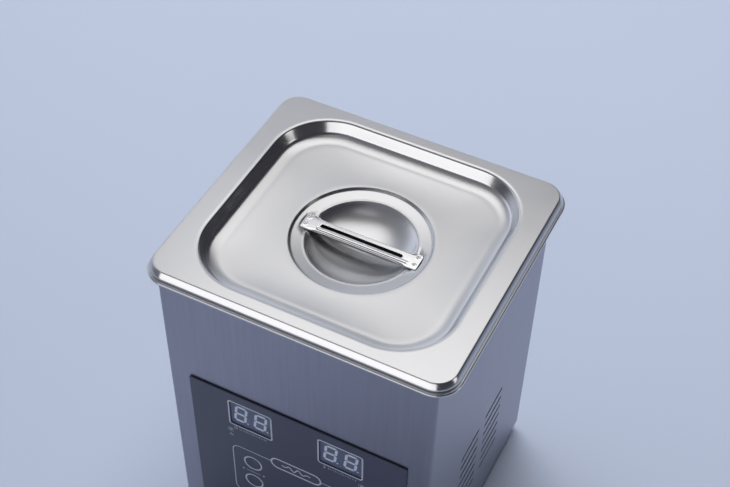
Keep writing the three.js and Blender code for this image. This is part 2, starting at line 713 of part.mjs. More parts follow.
// The display board with a push switch soldered behind every key.
function displayBoard() {
  const board = block([-58, BOARD_Y, 22], [58, BOARD_Y + BOARD_T, 134]);
  const switches = keyPlaces().flatMap(([, x, z]) => [
    block([x - 3, BOARD_Y - 3.4, z - 3], [x + 3, BOARD_Y + 0.5, z + 3]),
    barY(1.6, BOARD_Y - 4.2, BOARD_Y - 3, x, z, 6),
  ]);
  return piece('display_board', join([board, ...switches]), CIRCUIT_BOARD);
}

// Folded strips that hold the display board's side edges to the housing front.
function boardBracket(name, side) {
  const y0 = FRONT + SHEET + GAP;
  const y1 = BOARD_Y + BOARD_T + 2;
  const [z0, z1] = [30, 104];
  const strip = (a, b, near, far) => (
    block([Math.min(side * a, side * b), near, z0], [Math.max(side * a, side * b), far, z1])
  );
  const foot = strip(60, 70, y0, y0 + SHEET);
  const web = strip(60, 61, y0, y1);
  const hook = strip(52, 61, BOARD_Y + BOARD_T + GAP, y1);
  return piece(`board_bracket_${name}`, join([foot, web, hook]), ZINC_STEEL);
}

// ---------------------------------------------------------------- transducer

const tankFloor = FLANGE.top - TANK.depth - TANK.t;
const PIEZO = { r: 19, bore: 7.5, t: 5 };

function washer(r, bore, z0, z1, sidesCount = 24) {
  return turned([[bore, z0], [r, z0], [r, z1], [bore, z1], [bore, z0]], sidesCount);
}

// The clamped stack under the tank, from the bonded front mass down to its bolt.
function transducer() {
  const top = tankFloor - GAP;
  const frontMass = [
    [5.5, top - 22], [19, top - 22], [19, top - 16], [29, top - 4], [29, top],
    [0, top], [0, top - 6], [5.5, top - 6], [5.5, top - 22],
  ];
  const upperTop = top - 22 - GAP;
  const plateTop = upperTop - PIEZO.t - GAP;
  const lowerTop = plateTop - 0.5 - GAP;
  const massTop = lowerTop - PIEZO.t - GAP;
  const massBottom = massTop - 20;
  const tab = block([17, -3, plateTop - 0.5], [27, 3, plateTop]);
  const plate = join([washer(PIEZO.r, PIEZO.bore, plateTop - 0.5, plateTop), tab]);
  const bolt = [
    [0, massBottom - 8 - GAP], [8, massBottom - 8 - GAP], [8, massBottom - GAP],
    [5, massBottom - GAP], [5, top - 8], [0, top - 8],
  ];
  return [
    piece('transducer_front_mass', turned(frontMass, 28), CAST_ALUMINIUM),
    piece('piezo_ring_upper', washer(PIEZO.r, PIEZO.bore, upperTop - PIEZO.t, upperTop), CERAMIC),
    piece('electrode_plate', plate, COPPER),
    piece('piezo_ring_lower', washer(PIEZO.r, PIEZO.bore, lowerTop - PIEZO.t, lowerTop), CERAMIC),
    piece('transducer_back_mass', washer(PIEZO.r, 5.5, massBottom, massTop), ZINC_STEEL),
    piece('transducer_bolt', turned(bolt, 6), ZINC_STEEL),
  ];
}

// ---------------------------------------------------------------- heater and sensors

function heaterPad(name, side) {
  const near = TANK.halfX + TANK.t + GAP;
  const pad = block([near, -34, 140], [near + 0.9, 34, 196]);
  return piece(`heater_pad_${name}`, side < 0 ? pad.rotateZ(Math.PI) : pad, SILICONE_ORANGE);
}

function thermalCutout() {
  const top = tankFloor - GAP;
  const profile = [[0, top - 12], [4, top - 12], [4, top - 7], [8, top - 7], [8, top], [0, top]];
  return piece('thermal_cutout', turned(profile, 18), BLACK_PLASTIC, [44, 30, 0]);
}

function temperatureProbe() {
  const top = tankFloor - GAP;
  const body = join([block([-50, 26, top - 5], [-34, 34, top]), barZ(2.5, top - 16, top - 4, -42, 30, 12)]);
  return piece('temperature_probe', body, BRASS);
}

// ---------------------------------------------------------------- power board

function powerBoard() {
  const { x, y, w, d, t, z } = POWER_BOARD;
  const board = block([x - w / 2, y - d / 2, z], [x + w / 2, y + d / 2, z + t]);
  const lay = (dx, dy, r, h) => barZ(r, z + 0.5, z + h, x + dx, y + dy, 12);
  const parts = [
    lay(-18, 28, 5, 20), lay(-4, 28, 5, 20), lay(10, 28, 6, 16),
    block([x + 28, y + 20, z + 0.5], [x + 46, y + 34, z + 15]),
    block([x - 50, y + 18, z + 0.5], [x - 34, y + 30, z + 13]),
  ];
  const holes = boardHoles().map(([hx, hy]) => barZ(1.8, z - 2, z + t + 2, hx, hy, 8));
  return piece('power_board', cut(join([board, ...parts]), holes), CIRCUIT_BOARD);
}

function boardHoles() {
  const { x, y, w, d } = POWER_BOARD;
  const [hx, hy] = [w / 2 - 5, d / 2 - 5];
  return [[x - hx, y - hy], [x + hx, y - hy], [x + hx, y + hy], [x - hx, y + hy]];
}

function boardStandoff(name, [x, y]) {
  const z0 = BASE_Z + SHEET + GAP;
  const z1 = POWER_BOARD.z - GAP;
  const post = turned([[0, z0], [3, z0], [3, z1], [1.5, z1], [1.5, z1 + 4], [0, z1 + 4]], 8);
  return piece(`board_standoff_${name}`, post, WHITE_PLASTIC, [x, y, 0]);
}

function transformer() {
  const z = POWER_BOARD.z + POWER_BOARD.t + GAP;
  const core = block([-50, -34, z], [-14, -4, z + 26]);
  const winding = block([-44, -38, z + 4], [-20, 0, z + 22]);
  return piece('transformer', join([core, winding]), COPPER);
}

function heatsink() {
  const z = POWER_BOARD.z + POWER_BOARD.t + GAP;
  const parts = [block([2, -36, z], [38, -32, z + 24])];
  for (let k = 0; k < 6; k += 1) {
    const x = 3 + k * 6.6;
    parts.push(block([x, -32.5, z], [x + 1.6, -22, z + 24]));
  }
  return piece('heatsink', join(parts), CAST_ALUMINIUM);
}

// ---------------------------------------------------------------- internal leads

function lead(name, r, material, points) {
  const curve = new THREE.CatmullRomCurve3(points.map((p) => new THREE.Vector3(...p)));
  const circle = new THREE.Shape().absarc(0, 0, r, 0, Math.PI * 2, false);
  const geometry = new THREE.ExtrudeGeometry(circle, {
    steps: 12,
    curveSegments: 4,
    bevelEnabled: false,
    extrudePath: curve,
  });
  return piece(name, geometry, material);
}

function leads() {
  const boardTop = POWER_BOARD.z + POWER_BOARD.t + GAP;
  const inletBack = rearY1 + GAP + 2 - INLET.depth - GAP;
  return [
    lead('mains_lead', 2.2, BLACK_PLASTIC, [
      [INLET.x, inletBack, INLET.z], [INLET.x, inletBack - 8, INLET.z - 1],
      [40, 30, boardTop + 16], [42, 12, boardTop + 10], [42, 6, boardTop + 2],
    ]),
    lead('transducer_lead', 1.2, SILICONE_ORANGE, [
      [27.6, 0, 83.6], [32, 0, 83], [36, 2, 70], [30, 6, 50], [24, 8, boardTop + 1],
    ]),
    lead('display_lead', 1.4, WHITE_PLASTIC, [
      [-20, BOARD_Y + BOARD_T + 2 * GAP, 44], [-20, BOARD_Y + 8, 44.5],
      [-12, -52, 40], [-8, -46, 32], [-8, -41, boardTop + 1],
    ]),
  ];
}

// ---------------------------------------------------------------- assembly

const cleaner = new THREE.Group();

cleaner.add(housing(), basePlate(), rearCover());
footPlaces().forEach((place, i) => cleaner.add(foot(CORNER_NAMES[i], place)));
footPlaces().forEach((place, i) => cleaner.add(footScrew(CORNER_NAMES[i], place)));
const rearNames = ['low_left', 'low_right', 'high_right', 'high_left'];
rearScrewPlaces().forEach((place, i) => cleaner.add(coverScrew(rearNames[i], place)));
cleaner.add(tank(), flangeSeal(), lidPanel(), lidHandle());
cleaner.add(...transducer());
cleaner.add(heaterPad('left', -1), heaterPad('right', 1), thermalCutout(), temperatureProbe());
cleaner.add(powerBoard(), transformer(), heatsink());
boardHoles().forEach((place, i) => cleaner.add(boardStandoff(CORNER_NAMES[i], place)));
cleaner.add(frontPanel(), displayBoard(), boardBracket('left', -1), boardBracket('right', 1));
for (const [column, side] of sides) {
  cleaner.add(displayWindow(column, side), displayModule(column, side), lamp(column, side));
}
for (const [name, x, z] of keyPlaces()) cleaner.add(key(name, x, z));
cleaner.add(powerInlet(), rockerFrame(), rocker(), fanFrame(), fanRotor());
cleaner.add(...leads());

export default cleaner;
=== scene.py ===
# %% [markdown]
# # A benchtop ultrasonic cleaner
# The machine is a stainless box with a deep tank hanging in it. A lift-off lid closes the tank,
# and a dark control panel fills most of the front. The exact solids come from CAD and act as a
# fixed skeleton. Here each visible piece gets the finer shape and finish that the real one has:
# rolled edges, drawn corners, brushed and satin steel, printed film and moulded plastic.
# Everything is in metres. Z is up, -Y is the side with the panel, and the object stands on Z = 0.

# %% Load the skeleton and the tools
import json
import math

import bpy
import bmesh
import numpy as np
from mathutils import Matrix, Vector
from mathutils.geometry import delaunay_2d_cdt


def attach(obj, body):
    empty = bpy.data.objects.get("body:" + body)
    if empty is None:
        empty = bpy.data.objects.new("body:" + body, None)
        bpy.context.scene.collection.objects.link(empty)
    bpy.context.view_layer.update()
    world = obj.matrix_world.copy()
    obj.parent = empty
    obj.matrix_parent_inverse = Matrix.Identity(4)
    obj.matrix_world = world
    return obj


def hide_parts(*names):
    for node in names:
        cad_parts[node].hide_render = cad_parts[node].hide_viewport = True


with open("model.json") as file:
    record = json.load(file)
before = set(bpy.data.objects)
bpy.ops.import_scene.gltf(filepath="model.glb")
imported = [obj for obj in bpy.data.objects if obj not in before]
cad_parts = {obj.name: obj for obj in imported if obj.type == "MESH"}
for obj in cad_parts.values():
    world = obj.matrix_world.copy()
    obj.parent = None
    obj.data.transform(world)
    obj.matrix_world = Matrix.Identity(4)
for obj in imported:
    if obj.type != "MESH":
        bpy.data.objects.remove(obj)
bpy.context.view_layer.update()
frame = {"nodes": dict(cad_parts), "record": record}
MM = 0.001

# %% [markdown]
# ## Camera and light
# A product table is lit by broad, soft sources, because steel shows little but what it mirrors.
# The camera looks down at the machine from its front right, and a long lens keeps it nearly square.

# %% Place the camera
def aim(right, down, forward):
    """A rotation whose columns are right, up and backwards, as a Blender camera looks along -Z."""
    axes = np.array([right, -np.array(down), -np.array(forward)]).T
    return Matrix(axes.tolist()).to_4x4()


camera_data = bpy.data.cameras.new("camera")
camera = bpy.data.objects.new("camera", camera_data)
bpy.context.scene.collection.objects.link(camera)
bpy.context.scene.camera = camera

# The view is 26.1 degrees round to the right, 46.9 degrees up and turned 1.2 degrees.
turn = math.radians(26.13)
rise = math.radians(46.88)
roll = math.radians(-1.206)
forward = np.array([
    -math.sin(turn) * math.cos(rise),
    math.cos(turn) * math.cos(rise),
    -math.sin(rise),
])
level_right = np.array([math.cos(turn), math.sin(turn), 0.0])
level_down = np.cross(forward, level_right)
right = level_right * math.cos(roll) + level_down * math.sin(roll)
down = level_down * math.cos(roll) - level_right * math.sin(roll)

CAMERA_PLACE = (0.2151, -0.4340, 0.7219)
FOCAL_LENGTH = 66.38
camera.matrix_world = Matrix.Translation(CAMERA_PLACE) @ aim(right, down, forward)
camera_data.sensor_width = 36
camera_data.lens = FOCAL_LENGTH
camera_data.clip_start = 0.02
camera_data.clip_end = 60
print("camera looks along", forward.round(3))

# %% [markdown]
# ### Five soft lights
# The overhead panel is what the flat top of the lid mirrors, and its near edge is where the steel
# begins to darken. The ceiling only fills the shadows, so it is hidden from mirror reflections. The
# front panel only gives the steel something bright to mirror, so it lights nothing else. The side
# panel draws a bright line along the right edges, and the zenith panel lifts the rounded front edge.

# %% Hang the lights
def softbox(name, place, target, width, height, brightness, tint):
    """A flat area light at place, facing target, that mirrors in steel but hides from the camera.

    Its power is the brightness times pi times the area, so a bigger panel looks equally bright."""
    data = bpy.data.lights.new(name, "AREA")
    data.shape = "RECTANGLE"
    data.size = width
    data.size_y = height
    data.energy = brightness * math.pi * width * height
    data.color = tint
    light = bpy.data.objects.new(name, data)
    bpy.context.scene.collection.objects.link(light)
    light.location = place
    light.rotation_euler = (Vector(target) - Vector(place)).to_track_quat("-Z", "Y").to_euler()
    light.visible_camera = False
    return light


WARM = (1.0, 0.985, 0.96)
NEUTRAL = (1.0, 0.99, 0.98)
LID_MIDDLE = (0.0, 0.0, 0.24)
softbox("overhead", (-0.17, 0.70, 1.50), (-0.02, 0.05, 0.2), 1.16, 0.72, 1.46, WARM)
fill = softbox("ceiling", (-0.40, 0.95, 2.2), (-0.15, 0.45, 0.0), 1.6, 1.6, 4.3, NEUTRAL)
fill.visible_glossy = False
mirrored = softbox("front", (-0.06, -0.92, 0.36), LID_MIDDLE, 1.15, 0.50, 1.35, NEUTRAL)
mirrored.visible_diffuse = False
softbox("side", (1.25, 0.22, 0.42), LID_MIDDLE, 0.34, 0.50, 1.2, NEUTRAL)
softbox("zenith", (0.0, -0.26, 1.65), (0.0, 0.0, 0.2), 0.60, 0.26, 0.6, NEUTRAL)
bpy.context.scene.view_settings.view_transform = "Standard"

# %% [markdown]
# ### The room
# Steel needs dark things to mirror as well as bright ones. The room is pale near the horizon and
# darker overhead, and three directions are darker still: the front, the right and the upper back
# right. These directions belong to the room, so they stay where they are when the camera moves.
# What the camera sees past the table is one plain pale tone.

# %% Light the room
def link(tree, source, target):
    """Joins an output socket to an input socket."""
    tree.links.new(source, target)


world = bpy.data.worlds.new("studio")
bpy.context.scene.world = world
world.use_nodes = True
sky = world.node_tree
background = sky.nodes["Background"]
direction = sky.nodes.new("ShaderNodeTexCoord").outputs["Generated"]


def sky_ramp(value, stops):
    """A colour ramp over a value, from {position: colour}."""
    node = sky.nodes.new("ShaderNodeValToRGB")
    elements = node.color_ramp.elements
    while len(elements) < len(stops):
        elements.new(0.5)
    for element, (position, colour) in zip(elements, sorted(stops.items())):
        element.position = position
        element.color = (*colour, 1)
    link(sky, value, node.inputs["Fac"])
    return node.outputs["Color"]


def towards(x, y, z, low, high):
    """0 away from a direction and 1 near it, rising where the cosine goes from low to high."""
    dot = sky.nodes.new("ShaderNodeVectorMath")
    dot.operation = "DOT_PRODUCT"
    link(sky, direction, dot.inputs[0])
    dot.inputs[1].default_value = (x, y, z)
    rise = sky.nodes.new("ShaderNodeMapRange")
    rise.interpolation_type = "SMOOTHSTEP"
    rise.inputs["From Min"].default_value = low
    rise.inputs["From Max"].default_value = high
    link(sky, dot.outputs["Value"], rise.inputs["Value"])
    return rise.outputs["Result"]


def sky_mix(share, base, over):
    """The base colour, with another laid over it where the share is 1."""
    node = sky.nodes.new("ShaderNodeMix")
    node.data_type = "RGBA"
    link(sky, share, node.inputs["Factor"])
    for socket, colour in ((node.inputs["A"], base), (node.inputs["B"], over)):
        if isinstance(colour, tuple):
            socket.default_value = (*colour, 1)
        else:
            link(sky, colour, socket)
    return node.outputs["Result"]


parts = sky.nodes.new("ShaderNodeSeparateXYZ")
link(sky, direction, parts.inputs[0])
BACKDROP = {
    0.0: (0.85, 0.92, 1.04), 0.42: (0.78, 0.83, 0.93), 0.62: (0.28, 0.30, 0.34),
    0.72: (0.26, 0.27, 0.30), 0.88: (0.22, 0.22, 0.24), 1.0: (0.06, 0.06, 0.07),
}
# Direction, the cosines where the dark begins and is full, and its colour.
DARK_SIDES = (
    ((0, -1, 0), (0.0, 0.5), (0.17, 0.17, 0.19)),
    ((0.97, -0.2, 0.1), (0.15, 0.55), (0.05, 0.05, 0.06)),
    ((0.45, 0.70, 0.55), (0.62, 0.90), (0.04, 0.04, 0.05)),
)
room = sky_ramp(parts.outputs["Z"], BACKDROP)
for heading, cosines, colour in DARK_SIDES:
    room = sky_mix(towards(*heading, *cosines), room, colour)
ray = sky.nodes.new("ShaderNodeLightPath")
seen = sky_mix(ray.outputs["Is Camera Ray"], room, (0.55, 0.63, 0.79))
link(sky, seen, background.inputs["Color"])
background.inputs["Strength"].default_value = 1.15
print("room lit")

# %% [markdown]
# ## The table
# The machine stands on a seamless pale blue-grey sheet. A wide plane with a very faint mottling is enough.

# %% Lay the table
finishes = {}


def new_material(name):
    """A node material, kept in finishes by its name, with its node tree and Principled shader."""
    material = bpy.data.materials.new(name)
    finishes[name] = material
    material.use_nodes = True
    shader = material.node_tree.nodes["Principled BSDF"]
    return material, material.node_tree, shader


def constants(shader, **values):
    """Sets plain numbers and colours on the shader's own sockets, with _ for a space."""
    for name, value in values.items():
        socket = shader.inputs[name.replace("_", " ")]
        socket.default_value = (*value, 1) if isinstance(value, tuple) else value


table_finish, tree, shader = new_material("table")
constants(shader, Roughness=0.75)
mottle = tree.nodes.new("ShaderNodeTexNoise")
mottle.inputs["Scale"].default_value = 2.0
tint = tree.nodes.new("ShaderNodeValToRGB")
tint.color_ramp.elements[0].color = (0.55, 0.625, 0.79, 1)
tint.color_ramp.elements[1].color = (0.59, 0.665, 0.82, 1)
where = tree.nodes.new("ShaderNodeTexCoord")
link(tree, where.outputs["Object"], mottle.inputs["Vector"])
link(tree, mottle.outputs["Fac"], tint.inputs["Fac"])
link(tree, tint.outputs["Color"], shader.inputs["Base Color"])

reach = 12.0
table = bpy.data.meshes.new("table")
table.from_pydata([(-reach, -reach, 0), (reach, -reach, 0), (reach, reach, 0), (-reach, reach, 0)],
                  [], [(0, 1, 2, 3)])
floor = bpy.data.objects.new("table", table)
bpy.context.scene.collection.objects.link(floor)
table.materials.append(table_finish)
print("table", 2 * reach, "m square")


# %% [markdown]
# ## Effects shared by the finishes
# Steel sheet is never even: brushing leaves long fine scratches, pressing and handling leave soft
# cloudy differences in gloss, and moulded plastic has a fine grain. Each effect is a shader node
# group that gives a value which changes over the surface, and each finish uses it at its own scale.

# %% Helpers for node groups
def group(name, inputs, outputs):
    """An empty shader group with float inputs {name: default} and the named outputs."""
    tree = bpy.data.node_groups.new(name, "ShaderNodeTree")
    for label, default in inputs.items():
        socket = tree.interface.new_socket(label, in_out="INPUT", socket_type="NodeSocketFloat")
        socket.default_value = default
    for label, kind in outputs.items():
        tree.interface.new_socket(label, in_out="OUTPUT", socket_type=kind)
    return tree, tree.nodes.new("NodeGroupInput"), tree.nodes.new("NodeGroupOutput")


def maths(tree, operation, a, b=0.0, c=None):
    """A Math node whose operands are sockets or plain numbers."""
    node = tree.nodes.new("ShaderNodeMath")
    node.operation = operation
    for slot, operand in enumerate((a, b, c)):
        if operand is None:
            continue
        if isinstance(operand, (int, float)):
            node.inputs[slot].default_value = operand
        else:
            link(tree, operand, node.inputs[slot])
    return node.outputs[0]


def noise(tree, vector, scale, detail=2.0, roughness=0.5):
    """A 3-D noise value from 0 to 1 at a place. Scale is cycles for each metre."""
    node = tree.nodes.new("ShaderNodeTexNoise")
    link(tree, vector, node.inputs["Vector"])
    if isinstance(scale, (int, float)):
        node.inputs["Scale"].default_value = scale
    else:
        link(tree, scale, node.inputs["Scale"])
    node.inputs["Detail"].default_value = detail
    node.inputs["Roughness"].default_value = roughness
    return node.outputs["Fac"]


def object_place(tree):
    """The place on the piece, in metres."""
    return tree.nodes.new("ShaderNodeTexCoord").outputs["Object"]


def stretched(tree, vector, scale):
    """The place scaled by (x, y, z), so that a noise of it is drawn out along the small ones."""
    node = tree.nodes.new("ShaderNodeVectorMath")
    node.operation = "MULTIPLY"
    link(tree, vector, node.inputs[0])
    node.inputs[1].default_value = scale
    return node.outputs["Vector"]


print("helpers ready")

# %% Brushed scratches, drawn out along one axis
def scratches(name, across, along, axis):
    """Three sizes of noise, each drawn out along an axis: fine, middle and broad scratches."""
    tree, _, end = group(name, {}, {"Fine": "NodeSocketFloat", "Broad": "NodeSocketFloat"})
    place = object_place(tree)

    def layer(width, length):
        scale = [1 / width] * 3
        scale[axis] = 1 / length
        return noise(tree, stretched(tree, place, tuple(scale)), 1.0, 3.0, 0.6)

    fine = layer(across, along)
    middle = layer(across * 3.3, along * 1.9)
    link(tree, maths(tree, "MULTIPLY_ADD", fine, 0.6, maths(tree, "MULTIPLY", middle, 0.4)),
         end.inputs["Fine"])
    link(tree, layer(across * 14, along * 3), end.inputs["Broad"])
    return tree


upright_brush = scratches("upright_brush", 0.22 * MM, 30 * MM, 2)
strap_brush = scratches("strap_brush", 0.12 * MM, 14 * MM, 0)
print("brushes", upright_brush.name, strap_brush.name)

# %% Satin grain and handling clouds
clouds, _, end = group("handling_clouds", {}, {"Cloud": "NodeSocketFloat", "Grain": "NodeSocketFloat"})
place = object_place(clouds)
wide = noise(clouds, place, 22.0, 3.0, 0.55)
tight = noise(clouds, place, 95.0, 2.0, 0.5)
link(clouds, maths(clouds, "MULTIPLY_ADD", wide, 0.7, maths(clouds, "MULTIPLY", tight, 0.3)),
     end.inputs["Cloud"])
link(clouds, noise(clouds, place, 5200.0, 2.0, 0.6), end.inputs["Grain"])

# How steep the surface is: 0 where it faces straight up or down, 1 where it stands upright.
steepness, _, end = group("steepness", {}, {"Steep": "NodeSocketFloat"})
facing = steepness.nodes.new("ShaderNodeTexCoord")
parts = steepness.nodes.new("ShaderNodeSeparateXYZ")
link(steepness, facing.outputs["Normal"], parts.inputs[0])
flatness = maths(steepness, "ABSOLUTE", parts.outputs["Z"])
ramp = steepness.nodes.new("ShaderNodeMapRange")
ramp.interpolation_type = "SMOOTHSTEP"
ramp.inputs["From Min"].default_value = 0.88
ramp.inputs["From Max"].default_value = 0.60
link(steepness, flatness, ramp.inputs["Value"])
link(steepness, ramp.outputs["Result"], end.inputs["Steep"])
print("groups", [g.name for g in bpy.data.node_groups])

# %% [markdown]
# ## Finishes
# Pressed steel keeps a satin face where the sheet stayed flat, and the press polishes it where it
# was drawn over an edge. So the lid and the tank share one finish whose gloss follows the slope.
# The housing is brushed from top to bottom before it is folded, which spreads each highlight sideways.

# %% Tools that build one finish
def use_group(tree, tool):
    """Places a node group in a material."""
    node = tree.nodes.new("ShaderNodeGroup")
    node.node_tree = tool
    return node


def between(tree, value, low, high, dark, pale):
    """Maps a value from low..high to dark..pale."""
    node = tree.nodes.new("ShaderNodeMapRange")
    link(tree, value, node.inputs["Value"])
    for label, number in (("From Min", low), ("From Max", high), ("To Min", dark), ("To Max", pale)):
        node.inputs[label].default_value = number
    return node.outputs["Result"]


def two_tone(tree, value, dark, pale):
    """A colour that goes from dark to pale with a value from 0 to 1."""
    node = tree.nodes.new("ShaderNodeMix")
    node.data_type = "RGBA"
    link(tree, value, node.inputs["Factor"])
    node.inputs["A"].default_value = (*dark, 1)
    node.inputs["B"].default_value = (*pale, 1)
    return node.outputs["Result"]


def bumpy(tree, shader, value, strength, depth):
    """Feeds a height to the shader's normal. Depth is the relief in metres."""
    node = tree.nodes.new("ShaderNodeBump")
    node.inputs["Strength"].default_value = strength
    node.inputs["Distance"].default_value = depth
    link(tree, value, node.inputs["Height"])
    link(tree, node.outputs["Normal"], shader.inputs["Normal"])


print("finish tools ready")

# %% Satin pressed steel, polished where it was drawn
_, tree, shader = new_material("satin_steel")
constants(shader, Metallic=1.0)
cloud = use_group(tree, clouds)
slope = use_group(tree, steepness)
link(tree, two_tone(tree, cloud.outputs["Cloud"], (0.60, 0.60, 0.615), (0.68, 0.68, 0.685)),
     shader.inputs["Base Color"])
satin = between(tree, cloud.outputs["Cloud"], 0.3, 0.7, 0.285, 0.325)
gloss = maths(tree, "MULTIPLY_ADD", slope.outputs["Steep"], -0.13, satin)
link(tree, gloss, shader.inputs["Roughness"])
bumpy(tree, shader, cloud.outputs["Cloud"], 0.05, 0.10 * MM)

# %% Brushed housing steel
_, tree, shader = new_material("housing_steel")
constants(shader, Metallic=1.0, Anisotropic=0.45)
brush = use_group(tree, upright_brush)
cloud = use_group(tree, clouds)
streak = maths(tree, "MULTIPLY_ADD", brush.outputs["Fine"], 0.45,
               maths(tree, "MULTIPLY", brush.outputs["Broad"], 0.55))
link(tree, two_tone(tree, between(tree, streak, 0.25, 0.75, 0.0, 1.0),
                    (0.290, 0.292, 0.358), (0.372, 0.375, 0.450)), shader.inputs["Base Color"])
link(tree, between(tree, brush.outputs["Broad"], 0.2, 0.8, 0.30, 0.40), shader.inputs["Roughness"])
bumpy(tree, shader, brush.outputs["Fine"], 0.22, 0.03 * MM)

# %% Polished strap steel
# Heights in millimetres: the lid's flat rim, and the ledge that the strap's face is level with.
LID_TOP = 218.0
LEDGE = LID_TOP - 11.3
# Half width and depth below the face of the painted shade inside the slot.
SLOT_SHADE_HALF = 1.5 * MM
SLOT_SHADE_BELOW = 0.30 * MM
_, tree, shader = new_material("polished_steel")
constants(shader, Metallic=1.0, Anisotropic=0.3)
brush = use_group(tree, strap_brush)
# Painted shade: near the slot's middle line and below the strap's face, the base colour turns near-black,
# standing in for the shadow inside the slot.
place = tree.nodes.new("ShaderNodeSeparateXYZ")
link(tree, tree.nodes.new("ShaderNodeTexCoord").outputs["Object"], place.inputs[0])
near_slot = maths(tree, "LESS_THAN", maths(tree, "ABSOLUTE", place.outputs["Y"]), SLOT_SHADE_HALF)
below_face = maths(tree, "LESS_THAN", place.outputs["Z"], LEDGE * MM - SLOT_SHADE_BELOW)
slot_shade_paint = tree.nodes.new("ShaderNodeMix")
slot_shade_paint.data_type = "RGBA"
link(tree, maths(tree, "MULTIPLY", near_slot, below_face), slot_shade_paint.inputs["Factor"])
polish = two_tone(tree, brush.outputs["Broad"], (0.70, 0.70, 0.71), (0.80, 0.80, 0.80))
link(tree, polish, slot_shade_paint.inputs["A"])
slot_shade_paint.inputs["B"].default_value = (0.03, 0.03, 0.035, 1)
link(tree, slot_shade_paint.outputs["Result"], shader.inputs["Base Color"])
link(tree, between(tree, brush.outputs["Broad"], 0.2, 0.8, 0.09, 0.17), shader.inputs["Roughness"])
print("steel finishes", [name for name in finishes if "steel" in name])

# %% [markdown]
# Every other finish is one of two kinds: a metal, or a moulded or printed plastic. Each is a row of
# a table: its darkest and palest colour, its range of roughness and the depth of its grain. The
# handling clouds vary the colour and the gloss. The lit digits also glow faintly, as real ones do.

# %% The plain metals and plastics
def plain_finish(name, dark, pale, gloss, grain_depth, **more):
    """A finish whose tone and gloss follow the handling clouds, with a fine grain in relief."""
    _, tree, shader = new_material(name)
    constants(shader, **more)
    cloud = use_group(tree, clouds)
    link(tree, two_tone(tree, cloud.outputs["Cloud"], dark, pale), shader.inputs["Base Color"])
    link(tree, between(tree, cloud.outputs["Cloud"], 0.3, 0.7, *gloss), shader.inputs["Roughness"])
    bumpy(tree, shader, cloud.outputs["Grain"], 0.35, grain_depth)


# Name: darkest colour, palest colour, roughness from and to, depth of the grain.
METALS = {
    "zinc_steel": ((0.46, 0.48, 0.50), (0.62, 0.64, 0.64), (0.28, 0.42), 0.03 * MM),
    "cast_aluminium": ((0.52, 0.53, 0.54), (0.68, 0.69, 0.70), (0.35, 0.5), 0.05 * MM),
    "brass": ((0.52, 0.38, 0.15), (0.66, 0.51, 0.24), (0.25, 0.4), 0.02 * MM),
    "copper": ((0.50, 0.24, 0.13), (0.68, 0.38, 0.24), (0.25, 0.45), 0.03 * MM),
}
PLASTICS = {
    "black_plastic": ((0.008, 0.008, 0.010), (0.016, 0.016, 0.019), (0.42, 0.55), 0.05 * MM),
    "foot_rubber": ((0.010, 0.010, 0.010), (0.020, 0.020, 0.020), (0.70, 0.85), 0.08 * MM),
    "seal_silicone": ((0.50, 0.48, 0.45), (0.62, 0.60, 0.57), (0.5, 0.65), 0.03 * MM),
    "heater_silicone": ((0.36, 0.08, 0.03), (0.48, 0.14, 0.06), (0.5, 0.7), 0.10 * MM),
    "piezo_ceramic": ((0.09, 0.085, 0.07), (0.15, 0.14, 0.12), (0.45, 0.6), 0.02 * MM),
    "circuit_board": ((0.010, 0.075, 0.030), (0.020, 0.12, 0.055), (0.25, 0.4), 0.03 * MM),
    "white_plastic": ((0.60, 0.58, 0.54), (0.72, 0.70, 0.66), (0.4, 0.5), 0.03 * MM),
    "panel_film": ((0.098, 0.106, 0.168), (0.106, 0.115, 0.180), (0.34, 0.42), 0.010 * MM),
    "key_film": ((0.084, 0.092, 0.148), (0.092, 0.101, 0.160), (0.26, 0.34), 0.008 * MM),
    "print_ink": ((0.90, 0.92, 0.97), (0.94, 0.95, 0.98), (0.45, 0.55), 0.004 * MM),
    "display_face": ((0.26, 0.31, 0.46), (0.29, 0.34, 0.50), (0.4, 0.5), 0.01 * MM),
    "segment_white": ((0.90, 0.92, 0.97), (0.94, 0.96, 1.0), (0.4, 0.5), 0.004 * MM),
    "lamp_lens": ((0.45, 0.50, 0.62), (0.60, 0.65, 0.76), (0.12, 0.2), 0.004 * MM),
    "window_film": ((0.16, 0.18, 0.27), (0.18, 0.20, 0.30), (0.10, 0.16), 0.003 * MM),
}
SPECIAL = {
    "segment_white": {"Emission_Color": (0.70, 0.80, 1.0), "Emission_Strength": 0.22},
    "window_film": {"Alpha": 0.12},
}
for name, row in METALS.items():
    plain_finish(name, *row, Metallic=1.0)
for name, row in PLASTICS.items():
    plain_finish(name, *row, **SPECIAL.get(name, {}))
print("finishes", len(bpy.data.materials))

# %% [markdown]
# ## Surfaces from numbers
# Most pieces here are sheet metal, so a piece is a closed loop of section points carried round a
# closed outline. With a grid of such points, one short rule names every four-cornered face.

# %% Make pieces from grids of points
def new_piece(name, points, faces, finish, body, nodes=()):
    """A smooth-shaded mesh object in place, riding on a body and standing for some CAD nodes."""
    mesh = bpy.data.meshes.new(name)
    mesh.from_pydata(np.asarray(points).tolist(), [], [list(face) for face in faces])
    mesh.validate()
    mesh.polygons.foreach_set("use_smooth", np.ones(len(mesh.polygons), bool))
    mesh.materials.append(finishes[finish])
    piece = bpy.data.objects.new(name, mesh)
    bpy.context.scene.collection.objects.link(piece)
    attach(piece, body)
    if nodes:
        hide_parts(*nodes)
    return piece


